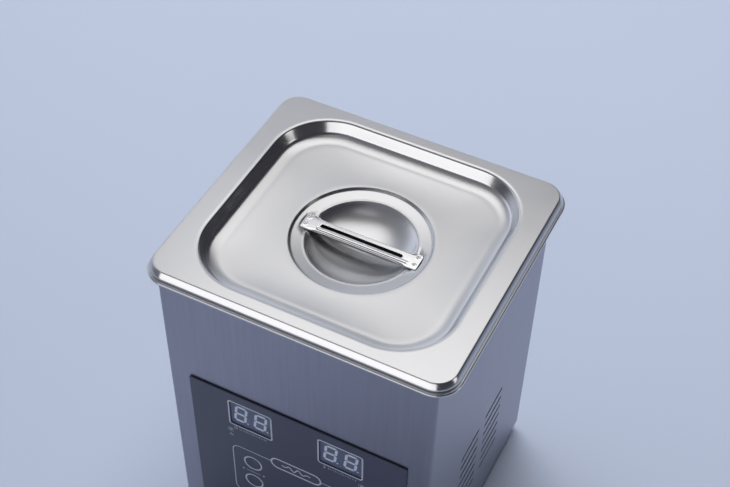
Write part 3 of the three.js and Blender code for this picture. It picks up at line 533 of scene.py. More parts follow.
def grid_faces(rows, columns, loop_rows=False, loop_columns=True):
    """Quads of a grid of points. Either direction may close on itself."""
    last_row = rows if loop_rows else rows - 1
    last_column = columns if loop_columns else columns - 1
    r, c = np.meshgrid(np.arange(last_row), np.arange(last_column), indexing="ij")
    below, beside = (r + 1) % rows, (c + 1) % columns
    corners = [r * columns + c, r * columns + beside, below * columns + beside, below * columns + c]
    return np.stack([k.ravel() for k in corners], 1)


def outward(piece):
    """Turns all faces to point away from the inside of a closed mesh, merging doubles first."""
    shape = bmesh.new()
    shape.from_mesh(piece.data)
    bmesh.ops.remove_doubles(shape, verts=shape.verts, dist=1e-7)
    bmesh.ops.recalc_face_normals(shape, faces=shape.faces)
    shape.to_mesh(piece.data)
    shape.free()
    open_edges = sum(1 for e in edge_uses(piece.data) if e != 2)
    print(piece.name, len(piece.data.polygons), "faces,", open_edges, "open edges")
    return piece


def edge_uses(mesh):
    """How many faces use each edge."""
    edges = np.zeros(len(mesh.loops), np.int32)
    mesh.loops.foreach_get("edge_index", edges)
    return np.bincount(edges, minlength=len(mesh.edges))


def keep_flats_flat(piece, angle=35):
    """Marks edges sharper than an angle and weights normals by area, so wide flats shade flat."""
    piece.data.set_sharp_from_angle(angle=math.radians(angle))
    weighting = piece.modifiers.new("flats", "WEIGHTED_NORMAL")
    weighting.mode = "FACE_AREA"
    weighting.weight = 100
    weighting.keep_sharp = True
    return piece


print("grid of 3 by 4 closed one way:", len(grid_faces(3, 4)), "quads")

# %% Outlines
def soft_box(half_x, half_y, corner, arc_steps=16, side_steps=12):
    """A rectangle with round corners, anticlockwise from the middle of its right side, in metres.

    A corner point is the corner's centre plus radius times (cos, sin) of an angle that runs over a
    quarter turn, and the straight sides are filled with evenly spread points."""
    quarter = np.linspace(0, math.pi / 2, arc_steps + 1)
    spread = np.linspace(0, 1, side_steps + 1)[1:-1, None]
    corners = []
    for index, (sx, sy) in enumerate(((1, 1), (-1, 1), (-1, -1), (1, -1))):
        angle = quarter + index * math.pi / 2
        centre = np.array([sx * (half_x - corner), sy * (half_y - corner)])
        corners.append(centre + corner * np.stack([np.cos(angle), np.sin(angle)], 1))
    runs = []
    for index, corner_points in enumerate(corners):
        runs.append(corner_points)
        begin, finish = corner_points[-1], corners[(index + 1) % 4][0]
        runs.append(begin + (finish - begin) * spread)
    points = np.concatenate(runs)
    return np.roll(points, side_steps // 2, axis=0)


def circle(radius, like):
    """A circle whose points lie in the same directions as those of another outline."""
    return radius * like / np.linalg.norm(like, axis=1, keepdims=True)


def arc(cx, cz, radius, start, stop, steps):
    """Points of a profile on a circle, between two angles in degrees."""
    angle = np.radians(np.linspace(start, stop, steps + 1))
    return np.stack([cx + radius * np.cos(angle), cz + radius * np.sin(angle)], 1)


def straight(a, b, steps):
    """Points spread evenly from a to b, leaving out both ends."""
    share = np.linspace(0, 1, steps + 1)[1:-1, None]
    return np.array(a) * (1 - share) + np.array(b) * share


outline = soft_box(72.5 * MM, 68.8 * MM, 34 * MM)
print("an outline has", len(outline), "points")

# %% [markdown]
# ## The lid
# A press draws the lid from one flat sheet: a flat rim, a rounded recess with a polished shoulder,
# a satin floor, and in its middle a round dish with a flat ledge and a bowl for the fingers.
# The rim ends in a thin crease where the skirt turns down. The same profile, moved by the sheet's
# thickness, gives the underside. Two small seats are pressed into the ledge for the strap.

# %% The lid's profiles
# In millimetres: heights of the recess floor's edge and the bowl's bottom, then the floor's sag,
# the sheet's thickness, and the radii of the circles that each bend of the lid follows.
FLOOR = LID_TOP - 8.8
BOWL = LID_TOP - 19.8
FLOOR_SAG = 0.85
SHEET = 1.0
HEM = {"radius": 1.25, "drop": 3.65}
SKIRT_BULGE = 16.0
RECESS_SHOULDER = 1.5
COVE = {"wall": 4.0, "floor": 18.0}
DISH = {"step": 39.0, "toe": 36.9, "lip": 30.8}


def follow(point, radius, start, stop, steps):
    """An arc that carries on from a point: its centre lies a radius back along the start angle."""
    angle = math.radians(start)
    centre_x, centre_z = point[0] - radius * math.cos(angle), point[1] - radius * math.sin(angle)
    return arc(centre_x, centre_z, radius, start, stop, steps)[1:]


def rim_profile():
    """Inset from the lid's edge and height, from under the rolled edge up to the flat rim.

    The edge curls under and rises as a sloping skirt that bulges slightly. The circle that turns
    it over has the one radius that ends level with the flat rim."""
    hem_end, skirt_end = 154, 142
    hem = arc(HEM["radius"], LID_TOP - HEM["drop"], HEM["radius"], 262, hem_end, 9)
    skirt = follow(hem[-1], SKIRT_BULGE, hem_end, skirt_end, 7)
    turn_radius = (LID_TOP - skirt[-1][1]) / (1 - math.sin(math.radians(skirt_end)))
    return np.concatenate([hem, skirt, follow(skirt[-1], turn_radius, skirt_end, 90, 8)])


def recess_profile():
    """Inset from the recess edge and height, from the flat rim to the recess floor.

    A tight shoulder, a wall at 64 degrees, then a cove whose radius widens towards the floor. The
    cove's two circles touch where both stand at 20 degrees, so their centres lie on one line."""
    wall_angle, blend_angle = 64, 20
    slope, blend = math.radians(wall_angle), math.radians(blend_angle)
    near, far = COVE["wall"], COVE["floor"]
    bead = arc(-0.9, LID_TOP - 2 * RECESS_SHOULDER, 2 * RECESS_SHOULDER, 90, 78, 2)
    shoulder = arc(0.0, LID_TOP - RECESS_SHOULDER - 0.05, RECESS_SHOULDER, 74, 90 - wall_angle, 9)
    tight_z = FLOOR + far * (1 - math.cos(blend)) + near * math.cos(blend)
    wall_foot = tight_z - near * math.cos(slope)
    run = (shoulder[-1][1] - wall_foot) / math.tan(slope)
    tight_x = shoulder[-1][0] + run + near * math.sin(slope)
    tight = arc(tight_x, tight_z, near, 270 - wall_angle, 270 - blend_angle, 9)
    wide = arc(tight_x + (far - near) * math.sin(blend), FLOOR + far, far, 270 - blend_angle, 270, 9)[1:]
    return np.concatenate([bead, shoulder, straight(shoulder[-1], tight[0], 5), tight, wide])


def dish_profile():
    """Radius and height, from the recess floor over the step and the ledge to the bowl's middle.

    The bowl sinks as a mix of one minus the square and one minus the sixth power of the radius."""
    rim = FLOOR - FLOOR_SAG
    step = arc(DISH["step"], rim - 1.0, 1.0, 90, 155, 7)
    toe = arc(DISH["toe"], LEDGE + 1.15, 0.9, 335, 277, 7)
    lip = arc(DISH["lip"], LEDGE - 2.3, 1.8, 83, 124, 6)
    start = lip[-1]
    depth = start[1] - BOWL
    radius = np.linspace(1, 0.012, 30)[1:] * start[0]
    share = radius / start[0]
    sag = (1 - share ** 2) * 0.6 + (1 - share ** 6) * 0.4
    bowl = np.stack([radius, start[1] - depth * sag], 1)
    wall, ledge = straight(step[-1], toe[0], 3), straight(toe[-1], lip[0], 6)
    return np.concatenate([step, wall, toe, ledge, lip, bowl])


def offset(profile, distance):
    """The profile moved square to itself: each point goes along its normal by the distance."""
    along = np.gradient(profile, axis=0)
    along /= np.linalg.norm(along, axis=1, keepdims=True)
    return profile + distance * np.stack([along[:, 1], -along[:, 0]], 1)


print("profile points", len(rim_profile()), len(recess_profile()), len(dish_profile()))

# %% Carry the profiles round
LID_HALF = (86.25, 77.7, 13.0)
RECESS_HALF = (72.5, 68.8, 34.0)


def rings_round(profile, half):
    """One rounded rectangle for each profile point, its half sizes less the inset."""
    return [(soft_box(half[0] - inset, half[1] - inset, half[2] - inset), z) for inset, z in profile]


def lid_face(distance):
    """All rings of one face of the lid, from the skirt to the bowl's middle, with their heights."""
    rim = rings_round(offset(rim_profile(), distance), LID_HALF)
    recess = rings_round(offset(recess_profile(), distance), RECESS_HALF)
    guide = recess[-1][0]
    dish = offset(dish_profile() * (-1, 1), distance) * (-1, 1)
    rounds = [(circle(max(radius, 0.3), guide), z) for radius, z in dish]
    flats = []
    for (a, za), (b, zb), shares in ((rim[-1], recess[0], (0.04, 0.5, 0.96)),
                                     (recess[-1], rounds[0], np.linspace(0, 1, 14)[1:-1])):
        flats.append([(a + (b - a) * s, za + (zb - za) * (2 * s - s ** 2)) for s in shares])
    return [*rim, *flats[0], *recess, *flats[1], *rounds]


def stack(rings):
    """The rings as one array of rows of (x, y, z) in metres."""
    return np.array([np.column_stack([ring, np.full(len(ring), z)]) for ring, z in rings]) * MM


def fan(row, count, pole):
    """Triangles that join each side of one row of a grid to a single point."""
    first = row * count + np.arange(count)
    second = row * count + (np.arange(count) + 1) % count
    return np.stack([first, second, np.full(count, pole)], 1).tolist()


upper = stack(lid_face(0.0))
lower = stack(lid_face(SHEET))[::-1]
print("lid rows", len(upper), "by", upper.shape[1])

# %% Press the strap's seats into the ledge
STRAP = {"half_x": 34.2 * MM, "half_y": 5.5 * MM, "thick": 1.2 * MM, "top": LEDGE * MM}
SEAT = {"from": 27.5 * MM, "gap": 0.25 * MM}


def smooth(low, high, value):
    """0 below low, 1 above high, and an S-shaped rise between."""
    share = np.clip((value - low) / (high - low), 0, 1)
    return share * share * (3 - 2 * share)


def press_seats(rows):
    """Lowers the ledge to the strap's underside inside a soft-edged box at each end of the strap."""
    x, y, z = rows[..., 0], rows[..., 1], rows[..., 2]
    edge = 0.3 * MM
    room_y, room_x = STRAP["half_y"] + 0.45 * MM, STRAP["half_x"] + 0.4 * MM
    inside = 1 - smooth(room_y, room_y + edge, np.abs(y))
    inside *= 1 - smooth(room_x, room_x + edge, np.abs(x))
    inside *= smooth(SEAT["from"], SEAT["from"] + 1.0 * MM, np.abs(x))
    seat = STRAP["top"] - STRAP["thick"] - SEAT["gap"]
    lowered = np.minimum(z, seat)
    return np.stack([x, y, z + (lowered - z) * inside], -1)


upper = press_seats(upper)
whole = np.concatenate([upper, lower])
count = whole.shape[1]
poles = np.array([[0, 0, upper[-1, 0, 2]], [0, 0, lower[0, 0, 2]]])
points = np.concatenate([whole.reshape(-1, 3), poles])
faces = grid_faces(len(whole), count).tolist()
gap_row = len(upper) - 1
faces = [f for k, f in enumerate(faces) if k // count != gap_row]
for pole, row in ((0, len(upper) - 1), (1, len(upper))):
    faces += fan(row, count, len(whole) * count + pole)
column = np.arange(count)
rim_loop = np.stack([column, (column + 1) % count, (len(whole) - 1) * count + (column + 1) % count,
                     (len(whole) - 1) * count + column], 1)
faces += rim_loop.tolist()
lid = new_piece("lid_sheet", points, faces, "satin_steel", "lid", ["lid_panel"])
outward(lid)

# %% [markdown]
# ## The strap
# The lifting strap is a polished strip with one long slot. The slot's rim is turned down into a
# short lip, a low rib with a groove on each side is pressed in front of it, both long edges are
# rolled down to stiffen the strip, and two spot welds hold each end. Its face is worked out as
# outlines that grow from the slot to the strap's edge, each lifted by a height formula.

# %% The strap's height formula
RIB = {"y": -2.75 * MM, "half": 0.70 * MM, "high": 0.22 * MM}
GROOVES = {"y": (-3.75 * MM, -1.65 * MM), "half": 0.20 * MM, "deep": 0.12 * MM}
WELD = {"x": 31.9 * MM, "y": 2.6 * MM, "half": 0.55 * MM, "deep": 0.20 * MM, "burr": 0.05 * MM}


def strap_relief(x, y):
    """Height added to the strap's top, in metres: a rib with a groove on each side, and weld dents."""
    along = 1 - smooth(25.6 * MM, 27.2 * MM, np.abs(x - 1.5 * MM))
    rib = np.exp(-(((y - RIB["y"]) / RIB["half"]) ** 4)) * RIB["high"]
    grooves = [np.exp(-(((y - place) / GROOVES["half"]) ** 2)) for place in GROOVES["y"]]
    groove = sum(grooves) * GROOVES["deep"]
    dents = 0.0
    for side in (-1, 1):
        for across in (-1, 1):
            away = np.hypot(x - side * WELD["x"], y - across * WELD["y"])
            dents = dents - WELD["deep"] * np.exp(-((away / WELD["half"]) ** 4))
            dents = dents + WELD["burr"] * np.exp(-(((away - 0.9 * MM) / (0.25 * MM)) ** 2))
    return (rib - groove) * along + dents


# Each long edge: which side, where its roll starts, and the roll's radius.
ROLLS = ((-1, 4.0 * MM, 0.9 * MM), (1, 3.4 * MM, 0.8 * MM))


def fold_long_edges(points):
    """Rolls both long edges down round small cylinders, but not near the ends.

    Past the start of a roll, the distance run becomes an angle, and it is held at a right angle."""
    x, y, z = points[..., 0], points[..., 1], points[..., 2]
    share = 1 - smooth(19.0 * MM, 31.0 * MM, np.abs(x))
    for side, start, radius in ROLLS:
        past = np.maximum(side * y - start, 0)
        bend = np.minimum(past / radius, math.pi / 2)
        beyond = np.maximum(past - radius * math.pi / 2, 0)
        rolled = side * (start + radius * np.sin(bend))
        y = np.where(past > 0, y + (rolled - y) * share, y)
        z = z - share * (radius * (1 - np.cos(bend)) + np.minimum(beyond, 0.3 * MM))
    return np.stack([x, y, z], -1)


print("rib height", round(float(strap_relief(np.array(0.0), np.array(RIB["y"])) / MM), 2), "mm")

# %% Sweep from the slot to the edge
def slot_outline(half, width, like):
    """A straight slot with round ends, one point for each point of another outline."""
    radius = width / 2
    core = np.clip(like[:, 0], -(half - radius), half - radius)
    away = like - np.column_stack([core, np.zeros(len(like))])
    away /= np.maximum(np.linalg.norm(away, axis=1, keepdims=True), 1e-9)
    return np.column_stack([core, np.zeros(len(like))]) + radius * away


SLOT = {"half": 24 * MM, "width": 2.5 * MM, "lip": 1.8 * MM}
SOFT_EDGE = 0.18 * MM
SOFT_SHARE = 0.055
edge = soft_box(STRAP["half_x"], STRAP["half_y"], 0.9 * MM, 5, 130)
slot = slot_outline(SLOT["half"], SLOT["width"], edge)
shares = np.linspace(0, 1, 66)[:, None, None]
flat = slot + (edge - slot) * shares
# The back edge runs a tenth narrower than the front, except at the ends.
between_ends = 1 - smooth(21.0 * MM, 31.0 * MM, np.abs(flat[..., 0]))
narrower = np.where(flat[..., 1] > 0, 0.10, 0.0)
flat[..., 1] *= 1 - narrower * between_ends * smooth(0.9 * MM, 3.0 * MM, np.abs(flat[..., 1]))


def rounded_drop(share_rows):
    """Depth below the face near both edges, a quarter circle with the softening radius."""
    near = np.clip((SOFT_SHARE - np.minimum(share_rows, 1 - share_rows)) / SOFT_SHARE, 0, 1)
    return SOFT_EDGE * (1 - np.sqrt(np.maximum(1 - near ** 2, 0)))


drop = rounded_drop(shares[..., 0])
top_z = STRAP["top"] + strap_relief(flat[..., 0], flat[..., 1]) - drop
turned_down = SLOT["lip"] * (1 - smooth(0.04, 0.16, shares[..., 0]))
bottom_z = STRAP["top"] - STRAP["thick"] - turned_down + drop + 0 * flat[..., 0]
top = np.concatenate([flat, top_z[..., None]], -1)
bottom = np.concatenate([flat, bottom_z[..., None]], -1)[::-1]
strap_rows = fold_long_edges(np.concatenate([top, bottom]))
strap_rows[..., 2] = np.maximum(strap_rows[..., 2], STRAP["top"] - 3.2 * MM)
strap = new_piece("lid_strap", strap_rows.reshape(-1, 3),
                  grid_faces(len(strap_rows), len(edge), loop_rows=True),
                  "polished_steel", "lid", ["lid_handle"])
outward(strap)
strap.data.set_sharp_from_angle(angle=math.radians(50))

# %% [markdown]
# ## The tank
# The tank is drawn from one sheet as well: a flat flange that carries the lid, a rounded lip,
# walls that lean in slightly, and a wide cove down to the floor. The flange's edge is turned down
# and stands a little way out beyond the lid, as a bright line round the machine.

# %% The tank's profiles
FLANGE_TOP = 212.8
FLANGE_HALF = (87.5, 79.0, 14.0)
TANK_HALF = (75.0, 68.2, 32.0)
TANK_FLOOR = FLANGE_TOP - 102
TANK_SHEET = 0.9
TANK_LIP = 2.5
TANK_COVE = 22

edge_profile = np.concatenate([
    arc(0.45, FLANGE_TOP - 1.35, 0.45, 270, 180, 4),
    arc(0.9, FLANGE_TOP - 0.9, 0.9, 180, 90, 7),
])
edge_under = np.array([[0.9, FLANGE_TOP - 1.75], [0.95, FLANGE_TOP - 1.2], [1.2, FLANGE_TOP - 0.9]])
inside_profile = np.concatenate([
    arc(-TANK_LIP, FLANGE_TOP - TANK_LIP, TANK_LIP, 90, 3, 8),
    straight((0, FLANGE_TOP - 2.6), (5.3, TANK_FLOOR + 22.5), 12),
    arc(5.5 + TANK_COVE, TANK_FLOOR + TANK_COVE, TANK_COVE, 180, 270, 18),
])
print("tank profile points", len(inside_profile))

# %% Carry them round
inner = rings_round(inside_profile, TANK_HALF)
outer = rings_round(offset(inside_profile, TANK_SHEET), TANK_HALF)
edge_rings = rings_round(edge_profile, FLANGE_HALF)
under_rings = rings_round(edge_under, FLANGE_HALF)
guide = inner[-1][0]
floor_rings = [(guide * share, inner[-1][1]) for share in (0.98, 0.6, 0.2)]
below_rings = [(guide * share, outer[-1][1]) for share in (0.2, 0.6, 0.98)]
rows = stack([*floor_rings[::-1], *inner[::-1], *edge_rings[::-1], *under_rings, *outer, *below_rings[::-1]])
count = rows.shape[1]
ends = np.array([[0, 0, inner[-1][1]], [0, 0, outer[-1][1]]]) * MM
points = np.concatenate([rows.reshape(-1, 3), ends])
faces = grid_faces(len(rows), count).tolist()
for pole, row in ((0, 0), (1, len(rows) - 1)):
    faces += fan(row, count, rows.size // 3 + pole)
tank = new_piece("tank_drawn", points, faces, "satin_steel", "base", ["tank"])
outward(tank)

# %% [markdown]
# ## Punched sheet
# The housing, the panel and the rear cover start as flat blanks with holes punched in them. A flat
# pattern is split into triangles that leave the holes open, then each point is placed in space, so
# the same tool makes a flat plate or a wrapped box. Every rim gets a small rounded edge.

# %% Flat outlines with a growth
def rectangle(x, z, half_x, half_z, corner=0.0, steps=4):
    """A function that gives a rectangle outline grown by a distance."""
    def grown(distance):
        radius = max(corner + distance, 1e-5)
        points = soft_box(half_x + distance, half_z + distance, radius, steps, 2)
        return points + (x, z)
    return grown


def round_hole(x, z, radius, steps=32):
    """A function that gives a circle outline grown by a distance."""
    angle = np.linspace(0, 2 * math.pi, steps, endpoint=False)
    unit = np.stack([np.cos(angle), np.sin(angle)], 1)
    return lambda distance: unit * (radius + distance) + (x, z)


def inside(points, loop):
    """True for points inside a closed loop: a line to the right crosses it an odd number of times."""
    x, z = points[:, :1], points[:, 1:]
    a, b = loop, np.roll(loop, -1, axis=0)
    crosses = (a[:, 1] > z) != (b[:, 1] > z)
    with np.errstate(divide="ignore", invalid="ignore"):
        where = (b[:, 0] - a[:, 0]) * (z - a[:, 1]) / (b[:, 1] - a[:, 1]) + a[:, 0]
    return (crosses & (x < where)).sum(1) % 2 == 1


def flat_triangles(border, holes, extra_lines=()):
    """Triangles that fill the border and leave the holes open, with any extra lines kept as edges."""
    loops = [border, *holes]
    points = [tuple(p) for loop in loops for p in loop]
    edges, start = [], 0
    for loop in loops:
        n = len(loop)
        edges += [(start + k, start + (k + 1) % n) for k in range(n)]
        start += n
    for line in extra_lines:
        points += [tuple(p) for p in line]
        edges += [(start + k, start + k + 1) for k in range(len(line) - 1)]
        start += len(line)
    found = delaunay_2d_cdt([Vector(p) for p in points], edges, [], 0, 1e-9)
    flat = np.array([tuple(v) for v in found[0]])
    triangles = np.array([t for t in found[2] if len(t) == 3])
    middle = flat[triangles].mean(1)
    keep = inside(middle, border)
    for hole in holes:
        keep &= ~inside(middle, hole)
    return flat, triangles[keep]


flat, triangles = flat_triangles(rectangle(0, 0, 2, 1)(0), [round_hole(0, 0, 0.5)(0)])
print("a plate with one hole:", len(triangles), "triangles")

# %% Punch, place and thicken
def punched(border, holes, thickness, place, soft=0.12 * MM, extra_lines=(), edges=None):
    """Points and faces of a punched sheet. Place takes flat x, flat z and depth below the face.

    The face stops a softening distance short of each rim. From there each rim turns through a
    quarter circle into the sheet's thickness and comes back out on the other face. The border is
    one closed rim, unless edges names the open ones that a wrapped strip has instead."""
    turn = np.radians(np.linspace(0, 90, 4))
    near = np.column_stack([-soft * (1 - np.sin(turn)), soft * (1 - np.cos(turn))])
    section = np.concatenate([near, near[::-1] * (1, -1) + (0, thickness)])
    flat, triangles = flat_triangles(border(-soft), [hole(soft) for hole in holes], extra_lines)
    front = place(flat[:, 0], flat[:, 1], 0.0 * flat[:, 0])
    back = place(flat[:, 0], flat[:, 1], 0.0 * flat[:, 0] + thickness)
    points, faces = [front, back], [triangles, triangles[:, ::-1] + len(front)]
    start = 2 * len(front)
    rims = [(outline, 1, edges is None) for outline in (edges or [border])]
    rims += [(hole, -1, True) for hole in holes]
    for outline, sign, closed in rims:
        rows = [(outline(sign * grow), depth) for grow, depth in section]
        placed = np.array([place(r[:, 0], r[:, 1], 0.0 * r[:, 0] + depth) for r, depth in rows])
        shape = placed.shape[:2]
        faces.append(grid_faces(*shape, loop_columns=closed) + start)
        points.append(placed.reshape(-1, 3))
        start += shape[0] * shape[1]
    return np.concatenate(points), [f for block in faces for f in block.tolist()]


def front_plate(face_y):
    """Places a flat pattern on a plate that faces -Y, with its depth towards +Y."""
    return lambda x, z, depth: np.stack([x, face_y + depth, z], -1)


def rear_plate(face_y):
    """Places a flat pattern on a plate that faces +Y, with its depth towards -Y."""
    return lambda x, z, depth: np.stack([x, face_y - depth, z], -1)


points, faces = punched(rectangle(0, 0, 2, 1), [], 0.1, front_plate(0), 0.01)
print("a punched plate has", len(points), "points and", len(faces), "faces")

# %% [markdown]
# ## The housing
# One brushed sheet is folded round all four corners and meets itself at the back. Its flat pattern
# is as long as the box's outline. Wrapping it follows that outline: a point keeps to a small inner
# rectangle and stands off from it by the fold's radius, in a direction that only turns at corners.

# %% Wrap a flat strip round the box
HOUSING = {"half_x": 79 * MM, "half_y": 74 * MM, "fold": 1.5 * MM, "low": 7.1 * MM, "high": 210.3 * MM}


def wrap_knots():
    """Distances round the outline where it starts or stops bending, from the middle of the left.

    At each knot: the inner rectangle's corner that it keeps to, and the outward direction's angle."""
    core_x, core_y = HOUSING["half_x"] - HOUSING["fold"], HOUSING["half_y"] - HOUSING["fold"]
    bend = HOUSING["fold"] * math.pi / 2
    corners = [(-core_x, -core_y), (core_x, -core_y), (core_x, core_y), (-core_x, core_y)]
    runs = [core_y, 2 * core_x, 2 * core_y, 2 * core_x, core_y]
    distance, knots = 0.0, [(0.0, -core_x, 0.0, 180.0)]
    for index, (x, y) in enumerate(corners):
        distance += runs[index]
        knots.append((distance, x, y, 180.0 + 90.0 * index))
        distance += bend
        knots.append((distance, x, y, 270.0 + 90.0 * index))
    knots.append((distance + runs[4], -core_x, 0.0, 540.0))
    return np.array(knots)


knots = wrap_knots()
around = knots[-1, 0]


def wrapped(s, z, depth):
    """The strip's point at distance s round the box, height z and depth below its face."""
    x = np.interp(s, knots[:, 0], knots[:, 1])
    y = np.interp(s, knots[:, 0], knots[:, 2])
    angle = np.radians(np.interp(s, knots[:, 0], knots[:, 3]))
    out = HOUSING["fold"] - depth
    return np.stack([x + out * np.cos(angle), y + out * np.sin(angle), z], -1)


front_middle, right_middle, back_middle = [(knots[k, 0] + knots[k + 1, 0]) / 2 for k in (2, 4, 6)]
print("the strip is", round(around / MM, 1), "mm long")

# %% Punch the strip and fold it
VENT_TOP, VENT_PITCH, VENT_LENGTH, VENT_HEIGHT = 94.0, 8.4, 25.0, 2.2
VENT_AWAY = 16.7 * MM
holes = [
    rectangle(front_middle, 79.5 * MM, 56 * MM, 53.5 * MM, 1 * MM),
    rectangle(back_middle, 66.5 * MM, 59 * MM, 42.5 * MM, 1 * MM),
]
half_length, half_height = VENT_LENGTH / 2 * MM, VENT_HEIGHT / 2 * MM
for middle in (right_middle + VENT_AWAY, right_middle - VENT_AWAY, VENT_AWAY, around - VENT_AWAY):
    for row in range(7):
        height = (VENT_TOP - VENT_PITCH * row) * MM
        holes.append(rectangle(middle, height, half_length, half_height, half_height * 0.999, 6))

low, high = HOUSING["low"], HOUSING["high"]
folds = [np.linspace(knots[k, 0], knots[k + 1, 0], 9) for k in (1, 3, 5, 7)]
beside_folds = [[fold[0] - 0.6 * MM, fold[-1] + 0.6 * MM] for fold in folds]
stations = np.sort(np.concatenate([[0.0, around], *folds, *beside_folds]))


def strip_edge(z, sign):
    """The strip's long edge at height z, moved by the growth away from its middle."""
    return lambda grow: np.column_stack([stations, np.full(len(stations), z + sign * grow)])


top_edge, bottom_edge = strip_edge(high, 1), strip_edge(low, -1)
soft = 0.15 * MM
fold_lines = [np.array([bottom_edge(-soft)[k], top_edge(-soft)[k]]) for k in range(1, len(stations) - 1)]
points, faces = punched(lambda grow: np.concatenate([bottom_edge(grow), top_edge(grow)[::-1]]),
                        holes, 1.0 * MM, wrapped, soft, fold_lines, [top_edge, bottom_edge])
housing = new_piece("housing_sheet", points, faces, "housing_steel", "base", ["housing_wrap"])
outward(housing)
keep_flats_flat(housing)

# %% [markdown]
# ## The control panel
# The panel is a dark printed film on a stiff plate. It has holes for two display windows, two
# lamps and six keys. The print is modelled as thin raised ink, so that its lines stay crisp in any
# view: frames, rings, and small signs in place of words. A clock and a thermometer tell the two
# displays apart, triangles point up and down, and the wave stands for the sound in the tank.

# %% Punch the panel
PANEL_FACE = -75.1 * MM
LAYOUT_X = -0.7
WINDOW_X, WINDOW_Z = 27.7, 120.4
LAMP_X, LAMP_Z = 40.8, 103.9
KEY_X = 28.0
HOLE_RADIUS, RING_RADIUS, LAMP_RADIUS = 5.1, 5.5, 1.35
KEYS = {
    "key_time_up": (LAYOUT_X - KEY_X, 78.8), "key_time_down": (LAYOUT_X - KEY_X, 61.3),
    "key_heat_up": (LAYOUT_X + KEY_X, 78.8), "key_heat_down": (LAYOUT_X + KEY_X, 61.3),
    "key_power": (LAYOUT_X - KEY_X, 33.0), "key_start": (LAYOUT_X + KEY_X, 33.0),
}


def window_shape(side, inset, corner, steps=4):
    """A display window's outline, made smaller all round by an inset, with a corner radius."""
    half_x, half_z = (13.35 - inset) * MM, (10.45 - inset) * MM
    return rectangle((LAYOUT_X + side * WINDOW_X) * MM, WINDOW_Z * MM, half_x, half_z, corner * MM, steps)


holes = []
for side in (-1, 1):
    holes.append(window_shape(side, 0.0, 1.7))
    holes.append(round_hole((LAYOUT_X + side * LAMP_X) * MM, LAMP_Z * MM, LAMP_RADIUS * MM))
holes += [round_hole(x * MM, z * MM, HOLE_RADIUS * MM, 64) for x, z in KEYS.values()]
points, faces = punched(rectangle(0, 78.95 * MM, 65.7 * MM, 58.45 * MM, 0.5 * MM), holes, 0.8 * MM,
                        front_plate(PANEL_FACE), 0.10 * MM)
panel = new_piece("control_panel", points, faces, "panel_film", "base", ["front_panel"])
outward(panel)
keep_flats_flat(panel)

# %% [markdown]
# ## Printed lines
# An ink line is a flat ribbon: the path moved half a line width to each side, and lifted a few
# hundredths of a millimetre off the film. Closed paths make frames and rings, open ones strokes.

# %% Make ribbons of ink
INK = 0.035 * MM


def ribbon(path, width, closed=False):
    """Points and quads of a raised band along a path of (x, z) points, given in millimetres.

    At each point the path's direction is turned a quarter to give the sideways step."""
    path = np.asarray(path, float) * MM
    if closed:
        along = np.roll(path, -1, axis=0) - np.roll(path, 1, axis=0)
    else:
        along = np.gradient(path, axis=0)
    along /= np.linalg.norm(along, axis=1, keepdims=True)
    aside = np.column_stack([-along[:, 1], along[:, 0]]) * width * MM / 2
    face, film = PANEL_FACE - INK, PANEL_FACE
    crest = aside * 0.9
    rows = [(path + aside, film), (path + crest, face), (path - crest, face), (path - aside, film)]
    points = np.array([np.column_stack([p[:, 0], np.full(len(p), y), p[:, 1]]) for p, y in rows])
    faces = grid_faces(4, len(path), loop_rows=True, loop_columns=closed).tolist()
    if not closed:
        n = len(path)
        faces += [[0, n, 2 * n, 3 * n], [n - 1, 4 * n - 1, 3 * n - 1, 2 * n - 1]]
    return points.reshape(-1, 3), faces


def blot(outline):
    """Points and faces of a filled raised shape from a convex (x, z) outline in millimetres."""
    outline = np.asarray(outline, float)
    middle = outline.mean(0)
    shrunk = middle + (outline - middle) * 0.96
    rows = [(outline * MM, PANEL_FACE), (shrunk * MM, PANEL_FACE - INK)]
    points = np.concatenate([np.column_stack([p[:, 0], np.full(len(p), y), p[:, 1]]) for p, y in rows])
    n = len(outline)
    faces = grid_faces(2, n).tolist() + [list(range(n)), list(range(2 * n - 1, n - 1, -1))]
    return points, faces


def ring_path(x, z, radius, start=0.0, stop=360.0, steps=48):
    """Points on a circle, or on part of one between two angles in degrees."""
    angle = np.radians(np.linspace(start, stop, steps, endpoint=stop - start < 360))
    return np.column_stack([x + radius * np.cos(angle), z + radius * np.sin(angle)])


def gather(parts):
    """Joins several (points, faces) into one."""
    points, faces, start = [], [], 0
    for part_points, part_faces in parts:
        points.append(part_points)
        faces += [[k + start for k in face] for face in part_faces]
        start += len(part_points)
    return np.concatenate(points), faces


def print_piece(name, parts):
    """One piece of print made of several inked parts."""
    points, faces = gather(parts)
    piece = new_piece(name, points, faces, "print_ink", "base")
    outward(piece)
    piece.data.set_sharp_from_angle(angle=math.radians(30))
    return piece


print("ink stands", INK / MM, "mm proud")

# %% Frames round the keys
frame_left, frame_top, frame_low, frame_corner = LAYOUT_X - 40.7, 90.1, 46.0, 4.6
frame_right = LAYOUT_X + 40.7
pill_half, pill_radius = 15.6, 4.2


def bent(x, z, start, stop):
    """A corner of the frame round a centre, between two angles in degrees."""
    return ring_path(x, z, frame_corner, start, stop, 12)


c = frame_corner
frame_path = np.concatenate([
    [(LAYOUT_X - pill_half, frame_top)],
    bent(frame_left + c, frame_top - c, 90, 180), bent(frame_left + c, frame_low + c, 180, 270),
    bent(frame_right - c, frame_low + c, 270, 360), bent(frame_right - c, frame_top - c, 0, 90),
    [(LAYOUT_X + pill_half, frame_top)],
])
pill_path = np.concatenate([
    ring_path(LAYOUT_X + pill_half - pill_radius, frame_top, pill_radius, -90, 90, 24),
    ring_path(LAYOUT_X - pill_half + pill_radius, frame_top, pill_radius, 90, 270, 24),
])
